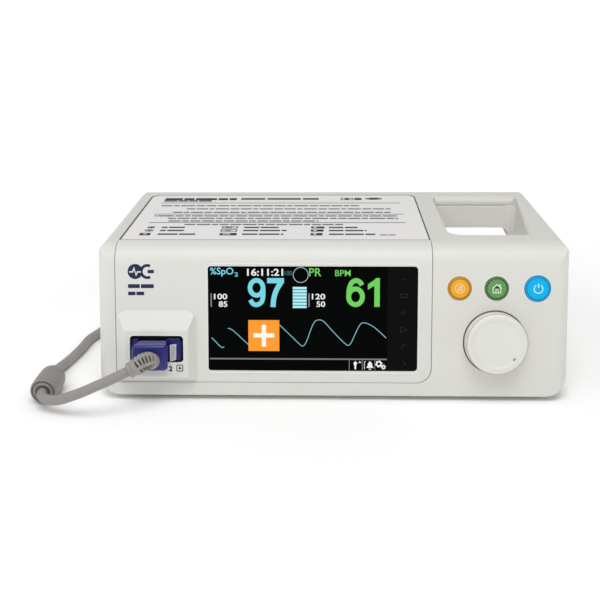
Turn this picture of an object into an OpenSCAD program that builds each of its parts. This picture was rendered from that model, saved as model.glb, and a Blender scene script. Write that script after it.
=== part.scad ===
// Bedside patient monitor with a leaning front, a sunk carry handle and a sensor cable.
// Millimetres. +Z is up, the front faces -Y, and the origin is on the table under the middle.
// Parts of the leaning front are drawn in the face frame: X to the right, Y up the slope
// from the table line, Z straight out of the face.

/* [Case] */
// Width of the case from side to side
case_w = 255; // [252:1:262]
// Height of the case top above the table
case_h = 82; // [81:0.5:85]
// Depth from the foot line of the face to the rear wall
case_d = 153.5; // [152:0.5:160]
// Backward lean of the front face in degrees
face_lean = 13.32; // [12.5:0.02:14]
// Thickness of the case walls
wall = 2.5; // [2.2:0.1:2.7]
// Radius of the curve from the face into the top
brow_r = 13.5; // [12:0.5:15]

/* [Front panel] */
// Left edge of the front panel
bezel_left = -117.3; // [-118:0.1:-116.5]
// Right edge of the front panel
bezel_right = 53.5; // [52.5:0.1:54.5]
// Height of the panel's lower edge above the table
bezel_foot = 9.9; // [9:0.1:10.5]
// Depth at which the panel ends on the top of the case
bezel_back = -44.6; // [-45:0.1:-44]
// Width of the dark seam round the panel
seam = 0.35; // [0.25:0.05:0.5]
// Width of the display window
window_w = 113.5; // [110:0.5:114]
// Height of the display window along the slope
window_h = 56.8; // [54:0.2:57]

/* [Controls] */
// Diameter of the dial
dial_d = 33; // [30:0.2:35]
// How far the dial stands out of the face
dial_h = 9.5; // [8.5:0.1:10.5]
// Distance the dial moves in when it is pressed
dial_press = 0.5; // [0.3:0.1:0.6]
// Distance a key moves in when it is pressed
key_press = 0.9; // [0.5:0.1:1]
// Diameters of the alarm, home and power keys
key_d = [12.2, 12.3, 13.5]; // [11.5:0.1:14]

/* [Handle] */
// Left side of the hand well
well_left = 65; // [63:0.5:67]
// Front edge of the hand well
well_front = -33.5; // [-35:0.5:-31]
// Rear edge of the hand well, where the grip begins
well_back = 57; // [55:0.5:58]
// Height of the well's floor above the table
well_floor = 30; // [29:0.5:34]
// Height of the underside of the grip
grip_z = 62; // [58:0.5:62]

/* [Sensor cable] */
// Diameter of the cable
cable_d = 5.5; // [5:0.1:5.8]
// Mean radius of the stored coil
coil_r = 32.3; // [31.5:0.1:33]

/* [Hidden] */

$fn = 64;
eps = 0.01;
clear = 0.15;
rear_y = 77.5;
face_y = rear_y - case_d;
foot_h = 2.5;
half_w = case_w / 2;
side_top_r = 6;
side_foot_r = 13;
front_edge_r = 7;
rear_edge_r = 9.5;
back_top_r = 5;
back_foot_r = 3;
panel_t = 1.7;
ledge_w = 3;

function on_slope(z) = z / cos(face_lean);
function unit(v) = v / norm(v);
function arc(c, r, a0, a1, n) = [
    for (i = [0:n]) c + r * [cos(a0 + (a1 - a0) * i / n), sin(a0 + (a1 - a0) * i / n)]
];

// ---- shapes used by many parts ----

module on_face() translate([0, face_y, 0]) rotate([90 - face_lean, 0, 0]) children();

// Convex outline with a true arc of radius rads[i] at each corner pts[i].
module rounded(pts, rads) {
    n = len(pts);
    legs = [for (i = [0:n - 1]) [unit(pts[(i + n - 1) % n] - pts[i]), unit(pts[(i + 1) % n] - pts[i])]];
    half = [for (g = legs) acos(g[0] * g[1]) / 2];
    run = [for (i = [0:n - 1]) rads[i] / tan(half[i])];
    polygon([for (i = [0:n - 1]) for (g = legs[i]) pts[i] + g * run[i]]);
    for (i = [0:n - 1])
        translate(pts[i] + unit(legs[i][0] + legs[i][1]) * rads[i] / sin(half[i])) circle(rads[i]);
}

// The arc that rounds corner p between neighbours a and b, as a run of points.
function corner(a, p, b, r, n) = let (
    u = unit(a - p), v = unit(b - p), half = acos(u * v) / 2, c = p + unit(u + v) * r / sin(half),
    s = p + u * r / tan(half) - c, a0 = atan2(s.y, s.x), turn = sign(cross(v, u)) * (180 - 2 * half)
) [for (i = [0:n]) c + r * [cos(a0 + turn * i / n), sin(a0 + turn * i / n)]];

// Outline with finely stepped arcs, for the case's outer form, where many rounded surfaces cross.
function stepped(pts, rads) = let (n = len(pts))
    [for (i = [0:n - 1])
        each corner(pts[(i + n - 1) % n], pts[i], pts[(i + 1) % n], rads[i], ceil(3 + rads[i] / 1.5))];

function rect(x0, y0, x1, y1) = [[x0, y0], [x1, y0], [x1, y1], [x0, y1]];

module plate(x0, y0, x1, y1, r) rounded(rect(x0, y0, x1, y1), [r, r, r, r]);

module box(lo, hi) translate(lo) cube(hi - lo);

// Extrude an outline drawn in X and Z along Y from y0 to y1.
module along_y(y0, y1) translate([0, y1, 0]) rotate([90, 0, 0]) linear_extrude(y1 - y0) children();

// Extrude an outline drawn in Y and Z along X from x0 to x1.
module along_x(x0, x1) translate([x0, 0, 0]) rotate([90, 0, 90]) linear_extrude(x1 - x0) children();

module rod(p0, axis, r, h) translate(p0) rotate(axis) cylinder(h = h, r = r);

module screw(head_r, head_h, r, h) {
    difference() {
        cylinder(h = head_h, r = head_r);
        translate([0, 0, -eps]) cylinder(h = head_h * 0.5, r = head_r * 0.45, $fn = 6);
    }
    translate([0, 0, head_h - eps]) cylinder(h = h + eps, r = r);
}

// ---- case ----

function face_at(z, inset) = face_y + z * tan(face_lean) + inset / cos(face_lean);

module side_outline(inset, low) {
    top = case_h - inset;
    polygon(stepped(
        [[face_at(low, inset), low], [face_at(top, inset), top], [rear_y - inset, top],
            [rear_y - inset, low]],
        [0.6, brow_r - inset, back_top_r - inset, back_foot_r - min(inset, 2)]
    ));
}

module case_solid(inset, low) {
    side = half_w - inset;
    top_r = max(side_top_r - inset, 0.5);
    foot_r = side_foot_r - inset;
    intersection() {
        along_x(-half_w - 5, half_w + 5) side_outline(inset, low);
        along_y(-120, 120)
            polygon(stepped(rect(-side, low, side, case_h - inset), [foot_r, foot_r, top_r, top_r]));
        on_face() translate([0, 140, 0]) rotate([90, 0, 0]) linear_extrude(190) polygon(stepped(
            rect(-side, -220, side, -inset), [0.5, 0.5, front_edge_r - inset, front_edge_r - inset]));
        translate([0, 0, -20]) linear_extrude(140) polygon(stepped(
            rect(-side, -140, side, rear_y - inset), [0.5, 0.5, rear_edge_r - inset, rear_edge_r - inset]));
    }
}

grip_split = 77;
grip_round = case_h - grip_split;
window_right = 121;
window_corner_r = 12;
well_right_front = 109;
well_right_back = 118;
base_half_w = 114;
base_front = -64;
base_back = 72;
back_open = [-115, 10, 50, 74];
boss_at = [for (x = [-108, 108]) for (y = [-36, 40]) [x, y]];
foot_at = [for (x = [-106, 106]) for (y = [-56, 62]) [x, y]];
label_back = 63;
label_right = 53.2;
label_t = 0.6;
key_x = [68.3, 88, 109.8];
key_s = on_slope(59.9);
dial_x = 87.6;
dial_s = 32.6;
dial_r = dial_d / 2;
bushing_r = 3.5;
shaft_r = 3;

function well_corners(grow) = [
    [well_left - grow, well_front - grow], [well_right_front + grow, well_front - grow],
    [well_right_back + grow, well_back + grow], [well_left - grow, well_back + grow]
];

module well_outline(grow) rounded(well_corners(grow), [9 + grow, 4 + grow, 4 + grow, 4 + grow]);

module bezel_area(gap) {
    x0 = bezel_left - gap;
    x1 = bezel_right + gap;
    along_y(-130, bezel_back + gap) rounded(rect(x0, bezel_foot - gap, x1, 120), [1.5, 8, 0.5, 0.5]);
}

module main_housing() color([0.86, 0.86, 0.84]) difference() {
    union() {
        difference() {
            case_solid(0, foot_h);
            difference() {
                case_solid(wall, foot_h + wall);
                translate([0, 0, well_floor - wall]) linear_extrude(80) well_outline(wall);
                box([well_left - wall, well_back - 6, well_floor - wall],
                    [well_right_back + wall, rear_y, case_h]);
                for (p = boss_at) {
                    translate([p.x, p.y, 7.2]) cylinder(h = 17.8, r = 4);
                    box([min(p.x, sign(p.x) * (half_w - 1)), p.y - 1, 7.2],
                        [max(p.x, sign(p.x) * (half_w - 1)), p.y + 1, 25]);
                }
            }
            bezel_area(seam);
        }
        // Ledge that the front panel rests on
        intersection() {
            along_x(bezel_left - ledge_w, bezel_right + ledge_w) difference() {
                side_outline(panel_t + 0.1, -10);
                side_outline(panel_t + 1.9, -12);
            }
            difference() {
                bezel_area(ledge_w);
                bezel_area(-ledge_w);
            }
        }
    }
    translate([0, 0, well_floor]) linear_extrude(80) well_outline(0);
    box([well_left, well_back - 5, well_floor], [well_right_back, rear_y + 20, grip_split]);
    // Rounding along the front of the grip bar
    along_x(well_left, well_right_back) polygon(concat(
        [[well_back - 1, case_h - grip_round]],
        arc([well_back + grip_round, case_h - grip_round], grip_round, 180, 90, 10),
        [[well_back + grip_round, case_h + 1], [well_back - 1, case_h + 1]]
    ));
    box([-base_half_w, base_front, -5], [base_half_w, base_back, foot_h + wall + 0.1]);
    along_y(rear_y - wall - 1, rear_y + 1) plate(back_open[0], back_open[1], back_open[2], back_open[3], 3);
    translate([0, 0, case_h - label_t - 0.2]) linear_extrude(5)
        rounded(
            rect(bezel_left - seam, bezel_back - 2, label_right + seam, label_back + seam), [0.5, 0.5, 5, 5]);
    for (p = boss_at) translate([p.x, p.y, 5]) cylinder(h = 15, r = 1.6);
    on_face() {
        for (i = [0:2]) translate([key_x[i], key_s, -10]) cylinder(h = 20, r = key_d[i] / 2 + 0.35);
        translate([dial_x, dial_s, -1.2]) cylinder(h = 10, r = dial_r + 0.6);
        translate([dial_x, dial_s, -10]) cylinder(h = 20, r = bushing_r + 0.1);
    }
}

battery_bay = [56, -36, 102, 58];
insert_pitch = 75;
insert_at = [for (x = [-1, 1]) for (y = [-1, 1]) [x, y] * insert_pitch / 2];
speaker_at = [-60, 14];
door_screw_at = [[79, -31], [79, 53]];

module base_plate() color([0.8, 0.8, 0.79]) difference() {
    union() {
        translate([0, 0, foot_h]) linear_extrude(wall + 0.1)
            plate(-base_half_w + 0.2, base_front + 0.2, base_half_w - 0.2, base_back - 0.2, 1);
        translate([0, 0, foot_h + wall + 0.1]) linear_extrude(2)
            plate(-base_half_w - 1.5, base_front - 0.8, base_half_w + 1.5, base_back + 1.5, 1);
        for (p = insert_at) translate([p.x, p.y, 7]) cylinder(h = 4.6, r = 6);
    }
    translate([0, 0, -1]) linear_extrude(wall + foot_h)
        plate(battery_bay[0] - 0.2, battery_bay[1] - 0.2, battery_bay[2] + 0.2, battery_bay[3] + 0.2, 2);
    translate([0, 0, -1]) linear_extrude(20)
        plate(battery_bay[0] + 3, battery_bay[1] + 10, battery_bay[2] - 3, battery_bay[3] - 10, 2);
    for (p = insert_at) translate([p.x, p.y, 0]) cylinder(h = 9.5, r = 3);
    for (p = foot_at) translate([p.x, p.y, 0]) cylinder(h = 6, r = 3);
    for (p = boss_at) translate([p.x, p.y, 0]) {
        cylinder(h = 20, r = 1.8);
        cylinder(h = foot_h + 1.6, r = 3.4);
    }
    for (p = door_screw_at) translate([p.x, p.y, 0]) cylinder(h = 20, r = 1.3);
    for (a = [0:45:315]) for (q = [7, 13]) translate([speaker_at.x, speaker_at.y, 0])
        rotate(a + q) translate([q, 0, 0]) cylinder(h = 20, r = 1.4);
}

module battery_door() color([0.78, 0.78, 0.77]) difference() {
    translate([0, 0, foot_h]) linear_extrude(1.3)
        plate(battery_bay[0], battery_bay[1], battery_bay[2], battery_bay[3], 2);
    for (p = door_screw_at) translate([p.x, p.y, 0]) cylinder(h = 20, r = 1.7);
    for (i = [-2:2]) translate([0, 6 + i * 4, foot_h - 0.5]) linear_extrude(0.9) plate(66, 0, 92, 1.6, 0.7);
}

module door_screws() color([0.6, 0.61, 0.63])
    for (p = door_screw_at) translate([p.x, p.y, foot_h - 1.1]) screw(2.8, 1.1, 1.2, 4.5);

module case_screws() color([0.55, 0.56, 0.58])
    for (p = boss_at) translate([p.x, p.y, foot_h + 0.3]) screw(3.1, 1.3, 1.5, 12);

module feet() color([0.17, 0.17, 0.18])
    for (p = foot_at) translate([p.x, p.y, 0]) {
        rotate_extrude() polygon([[0, 0], [6.6, 0], [7.4, 0.9], [7.4, foot_h], [0, foot_h]]);
        cylinder(h = foot_h + 3.2, r = 2.9);
    }

module mount_inserts() color([0.78, 0.62, 0.3])
    for (p = insert_at) translate([p.x, p.y, foot_h]) difference() {
        union() {
            cylinder(h = 6.8, r = 2.95);
            translate([0, 0, 2]) cylinder(h = 1.2, r = 3);
        }
        translate([0, 0, -1]) cylinder(h = 6.8, r = 2);
    }

module handle_grip() color([0.83, 0.83, 0.81]) difference() {
    along_y(well_back, rear_y) difference() {
        polygon(rect(well_left + clear, grip_z - 9, well_right_back - clear, grip_split - clear));
        rounded(rect(well_left - 9, 0, window_right, grip_z), [1, 1, window_corner_r, 0.5]);
    }
    box([well_left + 3, well_back + 3, grip_z + 2.5], [well_right_back - 3, rear_y - 3, grip_split + 1]);
}

// ---- rear ----

inlet_at = [-86, 44];
drawer_at = [-86, 24.5];
post_at = [-52, 30];
post_cup_r = 7;
post_foot_y = 64;
data_at = [-26, 24];
call_at = [-2, 24];
panel_y = rear_y - 0.6;
rear_screw_at = [for (x = [-110, 45]) for (z = [15, 69]) [x, z]];

module rear_panel() color([0.8, 0.8, 0.79]) difference() {
    union() {
        along_y(rear_y - wall - 0.1, panel_y)
            plate(back_open[0] + 0.25, back_open[1] + 0.25, back_open[2] - 0.25, back_open[3] - 0.25, 2.8);
        along_y(rear_y - wall - 2, rear_y - wall - 0.1)
            plate(back_open[0] - 3, back_open[1] + 0.5, back_open[2] + 3, back_open[3] + 1.5, 3);
        rod([post_at.x, panel_y - 1, post_at.y], [90, 0, 0], post_cup_r + 1.5, panel_y - post_foot_y + 1);
    }
    along_y(rear_y - 20, rear_y + 5) {
        plate(inlet_at.x - 14, inlet_at.y - 10.5, inlet_at.x + 14, inlet_at.y + 10.5, 1.5);
        plate(drawer_at.x - 12, drawer_at.y - 4.7, drawer_at.x + 12, drawer_at.y + 4.7, 0.6);
        plate(data_at.x - 7, data_at.y - 3.6, data_at.x + 7, data_at.y + 3.6, 0.6);
        plate(call_at.x - 7.5, call_at.y - 6.5, call_at.x + 7.5, call_at.y + 6.5, 0.6);
        for (p = rear_screw_at) translate(p) circle(1.7);
        for (i = [0:5]) plate(-36 + i * 13, 48, -31.5 + i * 13, 66, 2.2);
    }
    rod([post_at.x, rear_y + 5, post_at.y], [90, 0, 0], post_cup_r, rear_y + 5 - post_foot_y);
}

module rear_screws() color([0.55, 0.56, 0.58])
    for (p = rear_screw_at) translate([p.x, panel_y + 1.2, p.y]) rotate([90, 0, 0]) screw(3.1, 1.2, 1.5, 7);

module rating_label() color([0.9, 0.9, 0.88])
    along_y(panel_y, panel_y + 0.2) plate(14, 14, 40, 38, 1.5);

module power_inlet() color([0.1, 0.1, 0.11]) difference() {
    union() {
        along_y(panel_y, panel_y + 0.6) plate(inlet_at.x - 16, 17.5, inlet_at.x + 16, inlet_at.y + 14, 2.5);
        along_y(panel_y - 24, panel_y + eps)
            plate(inlet_at.x - 13.8, inlet_at.y - 10.3, inlet_at.x + 13.8, inlet_at.y + 10.3, 1.4);
        along_y(panel_y - 22, panel_y + eps)
            plate(drawer_at.x - 11.8, drawer_at.y - 4.5, drawer_at.x + 11.8, drawer_at.y + 4.5, 0.5);
    }
    along_y(panel_y - 17, rear_y + 5) rounded(
        [[inlet_at.x - 12, inlet_at.y - 8], [inlet_at.x + 12, inlet_at.y - 8],
         [inlet_at.x + 12, inlet_at.y + 4], [inlet_at.x + 8, inlet_at.y + 8],
         [inlet_at.x - 8, inlet_at.y + 8], [inlet_at.x - 12, inlet_at.y + 4]],
        [1, 1, 1, 1, 1, 1]
    );
    along_y(panel_y - 20, rear_y + 5)
        polygon(rect(drawer_at.x - 10.5, drawer_at.y - 3.4, drawer_at.x + 10.5, drawer_at.y + 3.4));
}

module inlet_pins() color([0.72, 0.72, 0.7])
    for (p = [[-7, -2], [0, 2], [7, -2]])
        along_y(panel_y - 30, panel_y - 4)
            translate([inlet_at.x + p.x, inlet_at.y + p.y]) square([2, 4], center = true);

module fuse_drawer() color([0.2, 0.2, 0.22]) difference() {
    union() {
        along_y(panel_y - 17, panel_y + 0.7)
            polygon(rect(drawer_at.x - 10.2, drawer_at.y - 3.1, drawer_at.x + 10.2, drawer_at.y + 3.1));
        along_y(panel_y + 0.65, panel_y + 2.2)
            plate(drawer_at.x - 11.5, drawer_at.y - 4, drawer_at.x + 11.5, drawer_at.y + 4, 1);
    }
    for (s = [-1, 1]) translate([drawer_at.x + s * 5, panel_y - 16, drawer_at.y]) rotate([-90, 0, 0])
        cylinder(h = 13.5, r = 2.7);
    box([drawer_at.x - 9, panel_y - 16, drawer_at.y], [drawer_at.x + 9, panel_y - 3, drawer_at.y + 5]);
    box([drawer_at.x - 3, panel_y + 1.6, drawer_at.y - 1], [drawer_at.x + 3, panel_y + 3, drawer_at.y + 1]);
}

module fuses() color([0.82, 0.84, 0.82])
    for (s = [-1, 1]) translate([drawer_at.x + s * 5, panel_y - 15.5, drawer_at.y]) rotate([-90, 0, 0])
        cylinder(h = 12.5, r = 2.5);

module port_box(p, w, h, deep, inner) difference() {
    union() {
        along_y(panel_y - deep, panel_y) plate(p.x - w / 2, p.y - h / 2, p.x + w / 2, p.y + h / 2, 0.5);
        along_y(panel_y, panel_y + 0.4)
            plate(p.x - w / 2 - 0.9, p.y - h / 2 - 0.9, p.x + w / 2 + 0.9, p.y + h / 2 + 0.9, 1);
    }
    along_y(panel_y - deep + 1.5, rear_y + 5)
        plate(p.x - w / 2 + inner, p.y - h / 2 + inner, p.x + w / 2 - inner, p.y + h / 2 - inner, 0.3);
}

module data_port() color([0.7, 0.7, 0.71]) {
    port_box(data_at, 13.6, 6.8, 16, 0.7);
    along_y(panel_y - 15, panel_y - 2) translate([data_at.x - 5, data_at.y + 0.6]) square([10, 1.8]);
}

module call_port() color([0.14, 0.14, 0.15]) port_box(call_at, 14.6, 12.6, 14, 1.4);

module ground_post() color([0.75, 0.68, 0.42]) translate([post_at.x, 0, post_at.y]) {
    rod([0, post_foot_y + 2, 0], [90, 0, 0], post_cup_r - clear, 2);
    rod([0, -front_reach, 0], [90, 0, 0], 3, -front_reach - post_foot_y - 1);
}

// ---- front panel, display and label ----

window_x = -67.4;
window_s = on_slope(16);
port_open = [-109.2, 21.6, -79.7, 36.3];
pedestal = [-117.2, 10.4, -73.2, 49.9];
pedestal_d = 6;

// Raised block round the sensor port: foot outline, front outline and the ramps between them.
module pedestal_solid() on_face() intersection() {
    translate([0, 0, -panel_t]) linear_extrude(20) rounded(
        rect(pedestal[0], pedestal[1], pedestal[2], pedestal[3]), [3, 3, 8, 8]);
    rotate([0, 90, 0]) translate([0, 0, -150]) linear_extrude(100) rounded(
        [[2, pedestal[1]], [-pedestal_d, pedestal[1] + 3], [-pedestal_d, 38.5], [0, pedestal[3]],
            [2, pedestal[3]]],
        [0.1, 2, 3, 3, 0.1]);
    translate([0, 80, 0]) rotate([90, 0, 0]) linear_extrude(100) rounded(
        [[pedestal[0], -2], [pedestal[2], -2], [pedestal[2], 0], [pedestal[2] - 4.5, pedestal_d],
         [pedestal[0] + 5.5, pedestal_d], [pedestal[0], 0]], [0.1, 0.1, 1, 3, 3, 1]);
}

module front_bezel() color([0.88, 0.88, 0.87]) difference() {
    union() {
        intersection() {
            along_x(bezel_left - 2, bezel_right + 2) difference() {
                side_outline(0, foot_h);
                side_outline(panel_t, foot_h - 4);
            }
            bezel_area(0);
        }
        pedestal_solid();
    }
    on_face() {
        translate([0, 0, -5]) linear_extrude(20)
            plate(window_x, window_s, window_x + window_w, window_s + window_h, 2);
        translate([0, 0, -5]) linear_extrude(20)
            plate(port_open[0], port_open[1], port_open[2], port_open[3], 2);
    }
}

module top_label() color([0.91, 0.91, 0.9])
    translate([0, 0, case_h - label_t - 0.2]) linear_extrude(label_t)
        rounded(rect(bezel_left, bezel_back + seam, label_right, label_back), [0.5, 0.5, 5, 5]);

module display_window() color([0.03, 0.03, 0.04]) on_face()
    translate([0, 0, -panel_t]) linear_extrude(panel_t - 0.15)
        plate(window_x + 0.15, window_s + 0.15, window_x + window_w - 0.15, window_s + window_h - 0.15, 1.85);

module display_gasket() color([0.1, 0.1, 0.1]) on_face()
    translate([0, 0, -panel_t - 1.9]) linear_extrude(1.9) difference() {
        plate(window_x - 2.5, window_s - 1.2, window_x + window_w + 2.5, window_s + window_h, 2);
        plate(window_x + 3, window_s + 1.5, window_x + window_w - 3, window_s + window_h - 1.5, 1);
    }

lcd_d = -panel_t - 1.9;
chassis_d = lcd_d - 4.2;
board_d = chassis_d - 6.5;

module lcd_panel() color([0.35, 0.36, 0.38]) on_face() {
    translate([-71, 13.5, lcd_d - 3]) linear_extrude(3) plate(0, 0, 118, 60, 0.8);
}

module front_chassis() color([0.7, 0.71, 0.73]) on_face() {
    translate([0, 0, chassis_d]) linear_extrude(1.2) difference() {
        plate(-71.5, 13, 49, 72, 3);
        for (x = [-60, -24, 12]) plate(x, 22, x + 28, 62, 4);
    }
    for (x = [-67, 44]) for (s = [17, 68]) translate([x, s, board_d + 1.6]) cylinder(h = 4.91, r = 2.2);
}

module chip(x, s, w, h, t) translate([x, s, -t]) cube([w, h, t + eps]);

module main_board() color([0.12, 0.36, 0.2]) on_face() translate([0, 0, board_d]) {
    linear_extrude(1.6) plate(-71, 13, 48.5, 72, 1.5);
    chip(-50, 34, 20, 20, 1.8);
    chip(-20, 40, 14, 10, 1.6);
    chip(4, 22, 12, 12, 2.5);
    chip(26, 50, 16, 8, 6);
    chip(-66, 60, 30, 6, 5);
    for (x = [2:7:30]) translate([x, 62, -6]) cylinder(h = 6 + eps, r = 2.4);
}

module sensor_board() color([0.12, 0.3, 0.4]) on_face() translate([0, 0, board_d - 3.5]) {
    linear_extrude(1.6) plate(-116, 30, -73, 72, 1.5);
    chip(-104, 48, 14, 14, 1.6);
    chip(-86, 60, 10, 7, 2);
}

module front_ribbon() color([0.75, 0.73, 0.68]) on_face() {
    translate([48.6, 36, board_d - 2]) cube([15, 14, 0.4]);
    translate([48.6, 36, board_d - 2]) cube([0.4, 14, 3.6]);
    translate([62, 36, board_d - 2]) cube([1.6, 14, keyboard_d - 1.6 - board_d + 2]);
}

// ---- controls ----

keyboard_d = -12;
key_stem_d = -7.2;

module key_board() color([0.12, 0.36, 0.2]) on_face() {
    difference() {
        translate([0, 0, keyboard_d - 1.6]) linear_extrude(1.6) plate(59.5, 13, 121, 72, 2);
        translate([dial_x, dial_s, -20]) cylinder(h = 20, r = 5);
    }
    for (i = [0:2]) {
        translate([key_x[i] - 3, key_s - 3, keyboard_d - eps]) cube([6, 6, 3]);
        translate([key_x[i], key_s, keyboard_d])
            cylinder(h = key_stem_d - keyboard_d - key_press - 0.3, r = 1.7);
    }
}

module key(i, tint) color(tint) on_face() translate([key_x[i], key_s, 0]) {
    r = key_d[i] / 2;
    rotate_extrude() polygon(concat(
        [[0, key_stem_d], [2.6, key_stem_d], [2.6, -4.2], [r + 1.4, -4.2], [r + 1.4, -2.9], [r, -2.9],
            [r, 0.2]],
        arc([r - 0.6, 0.2], 0.6, 0, 80, 5),
        [[r - 1.6, 0.95], [0, 1.15]]
    ));
}

module alarm_key() key(0, [0.95, 0.62, 0.12]);
module home_key() key(1, [0.42, 0.66, 0.36]);
module power_key() key(2, [0.05, 0.66, 0.9]);

module encoder_body() color([0.6, 0.6, 0.62]) on_face() translate([dial_x, dial_s, 0]) difference() {
    union() {
        translate([-6.5, -6.5, keyboard_d]) cube([13, 13, 6.5]);
        translate([0, 0, keyboard_d + 6.4]) cylinder(h = -keyboard_d - 6.4 - 0.4, r = bushing_r);
    }
    translate([0, 0, keyboard_d - 1]) cylinder(h = 30, r = shaft_r + 0.05);
    translate([0, 0, keyboard_d - 1]) cylinder(h = 5, r = 4.6);
}

module encoder_slider() color([0.85, 0.85, 0.8]) on_face()
translate([dial_x, dial_s, keyboard_d]) difference() {
    translate([0, 0, dial_press + 0.3]) cylinder(h = 2.8, r = 4.5);
    translate([0, 0, 2]) cylinder(h = 10, r = 2.05);
}

module dial_shaft() color([0.7, 0.71, 0.72]) on_face() translate([dial_x, dial_s, 0]) {
    translate([0, 0, keyboard_d + 2.1]) cylinder(h = 2, r = 1.98);
    translate([0, 0, keyboard_d + 3.8]) cylinder(h = 5.6 - keyboard_d - 3.8, r = shaft_r);
}

// Half section of the dial: radius, then height above the face.
knob_outline = concat(
    [[0, 5.7], [shaft_r + 0.01, 5.7], [shaft_r + 0.01, 1.2], [5.2, 1.2], [5.2, 6]],
    [[dial_r - 2, 6], [dial_r - 2, -0.3],
     [dial_r, -0.3], [dial_r, dial_h - 2.6]],
    arc([dial_r - 1, dial_h - 2.6], 1, 10, 50, 4),
    arc([dial_r - 2.3, dial_h - 0.8], 0.8, 45, 95, 4),
    [[dial_r - 4, dial_h - 0.25], [dial_r - 8, dial_h - 0.9], [0, dial_h - 1.1]]
);
front_reach = min([for (p = knob_outline) face_y + (dial_s - p.x) * sin(face_lean) - p.y * cos(face_lean)]);

module dial_knob() color([0.9, 0.9, 0.89]) on_face() translate([dial_x, dial_s, 0])
    rotate_extrude($fn = 96) polygon(knob_outline);

// ---- sensor port, plug and cable ----

module sensor_port() color([0.13, 0.12, 0.28]) on_face() difference() {
    union() {
        translate([0, 0, -14]) linear_extrude(13)
            plate(port_open[0] + 0.1, port_open[1] + 0.1, port_open[2] - 0.1, port_open[3] - 0.1, 1.9);
        translate([0, 0, -4]) linear_extrude(2.2)
            plate(port_open[0] - 3, port_open[1] - 3, port_open[2] + 3, port_open[3] + 3, 2);
    }
    translate([0, 0, -12]) linear_extrude(20) plate(-105.6, 24.3, -83.4, 33.6, 1.5);
}

module port_contacts() color([0.83, 0.68, 0.3]) on_face()
    for (i = [0:4]) for (j = [0, 1]) if (i + j < 5)
        translate([-100.5 + i * 3 + j * 1.5, 27.5 + j * 3, -13]) cylinder(h = 9, r = 0.5);

module cable_plug() color([0.27, 0.28, 0.5]) on_face() difference() {
    union() {
        translate([0, 0, -8]) linear_extrude(7.4) plate(-105.3, 24.6, -83.7, 33.3, 1.3);
        translate([0, 0, -0.7]) linear_extrude(5.2) difference() {
            plate(-108.4, 22.4, -80.5, 35.4, 1.6);
            polygon([[-104.5, 36], [-102.5, 34], [-88, 34], [-86, 36]]);
        }
        translate([0, 0, 4.4]) linear_extrude(9.6) plate(-106.4, 22.6, -87, 32.2, 1.6);
        translate([0, 0, 6.3]) linear_extrude(7.7) plate(-106.4, 19, -87, 32.2, 1.6);
    }
    translate([0, 0, -9]) linear_extrude(7.5) plate(-103.2, 25.6, -85.8, 32.3, 0.5);
    plug_axis() translate([0, 0, -0.1]) cylinder(h = 12, r = 3.6);
}

relief_from = [-93.5, -82.6, 26.6];
relief_to = [-106, -91.5, 24];
relief_dir = unit(relief_to - relief_from);
relief_len = norm(relief_to - relief_from);

module aim(p, d) translate(p) rotate([0, acos(d.z), atan2(d.y, d.x)]) children();

module plug_axis() multmatrix(face_inverse()) aim(relief_from, relief_dir) children();

// Takes table coordinates into the face frame.
function face_inverse() = let (a = 90 - face_lean) [
    [1, 0, 0, 0],
    [0, cos(a), sin(a), -face_y * cos(a)],
    [0, -sin(a), cos(a), face_y * sin(a)],
    [0, 0, 0, 1]
];

module plug_pad() color([0.75, 0.75, 0.73]) on_face()
    translate([0, 0, 4.5]) linear_extrude(1.6) rounded(
        [[-86.8, 23], [-83, 24], [-83, 31.6], [-86.8, 31.3]], [0.4, 0.4, 0.4, 0.4]);

module plug_strain_relief() color([0.66, 0.64, 0.63]) aim(relief_from, relief_dir) difference() {
    union() {
        rotate_extrude() polygon([[0, 0], [3.5, 0], [3.5, 3], [5, 4], [5.2, 6], [4.9, 8], [4.3, 12.5],
            [4.3, 14], [3.9, relief_len], [0, relief_len]]);
    }
    translate([0, 0, 2]) cylinder(h = relief_len, r = cable_d / 2 + 0.02);
    for (i = [0:3]) for (s = [-1, 1]) translate([s * 5, 0, 5.6 + i * 1.8]) cube([4.4, 7, 0.9], center = true);
}

// Route of the uncoiled cable from the strain relief, through the ferrite, to the coil.
cable_route = [
    [-106, -91.5, 24], [-111, -94.5, 22.4], [-117, -97, 20.2], [-123.5, -98, 17.5], [-130, -98, 14.5],
    [-136.5, -97, 11.6], [-142.5, -95.3, 9], [-148, -93.6, 7.7], [-152.5, -91, 7.3], [-155, -87.5, 7.3],
    [-156, -83, 7.3], [-156, -74, 7.3], [-156, -66, 7.3], [-156, -58, 7.3], [-156.3, -50, 6],
    [-156.8, -40, 3.8], [-157, -29, 2.8], [-156, -16, 2.8], [-154.3, -3, 2.8], [-152, 10, 2.8],
    [-149, 23, 2.8], [-145.2, 37, 2.8], [-140.6, 52, 2.8], [-135, 66, 2.8], [-127.8, 79.5, 2.8],
    [-120.3, 92.5, 2.8], [-112.8, 105.5, 2.8], [-105.3, 118.5, 3], [-97, 133, 3.5],
];
// Route of the short stretch from the coil to the far-end socket.
tail_route = [
    [-7.4, 152, 18.2], [-2.9, 149.4, 16.4], [2.1, 146.5, 13.6], [8.1, 143, 10.6], [14.1, 139.5, 8.5],
    [20.1, 136.1, 7.6],
];
coil_at = [-50, 132.85, 1.2];
turn_pitch = 5.6;
layer_rise = 4.85;
coil_w = 3 * turn_pitch + cable_d;
coil_h = 3 * layer_rise + cable_d;
ferrite_r = 7.3;
ferrite_y = [-83.4, -58.6];

function ring(c, t, r, n) = let (side = unit(cross(t, [0, 0, 1])), lift = cross(side, t))
    [for (k = [0:n - 1]) c + r * (cos(360 * k / n) * side + sin(360 * k / n) * lift)];

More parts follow.
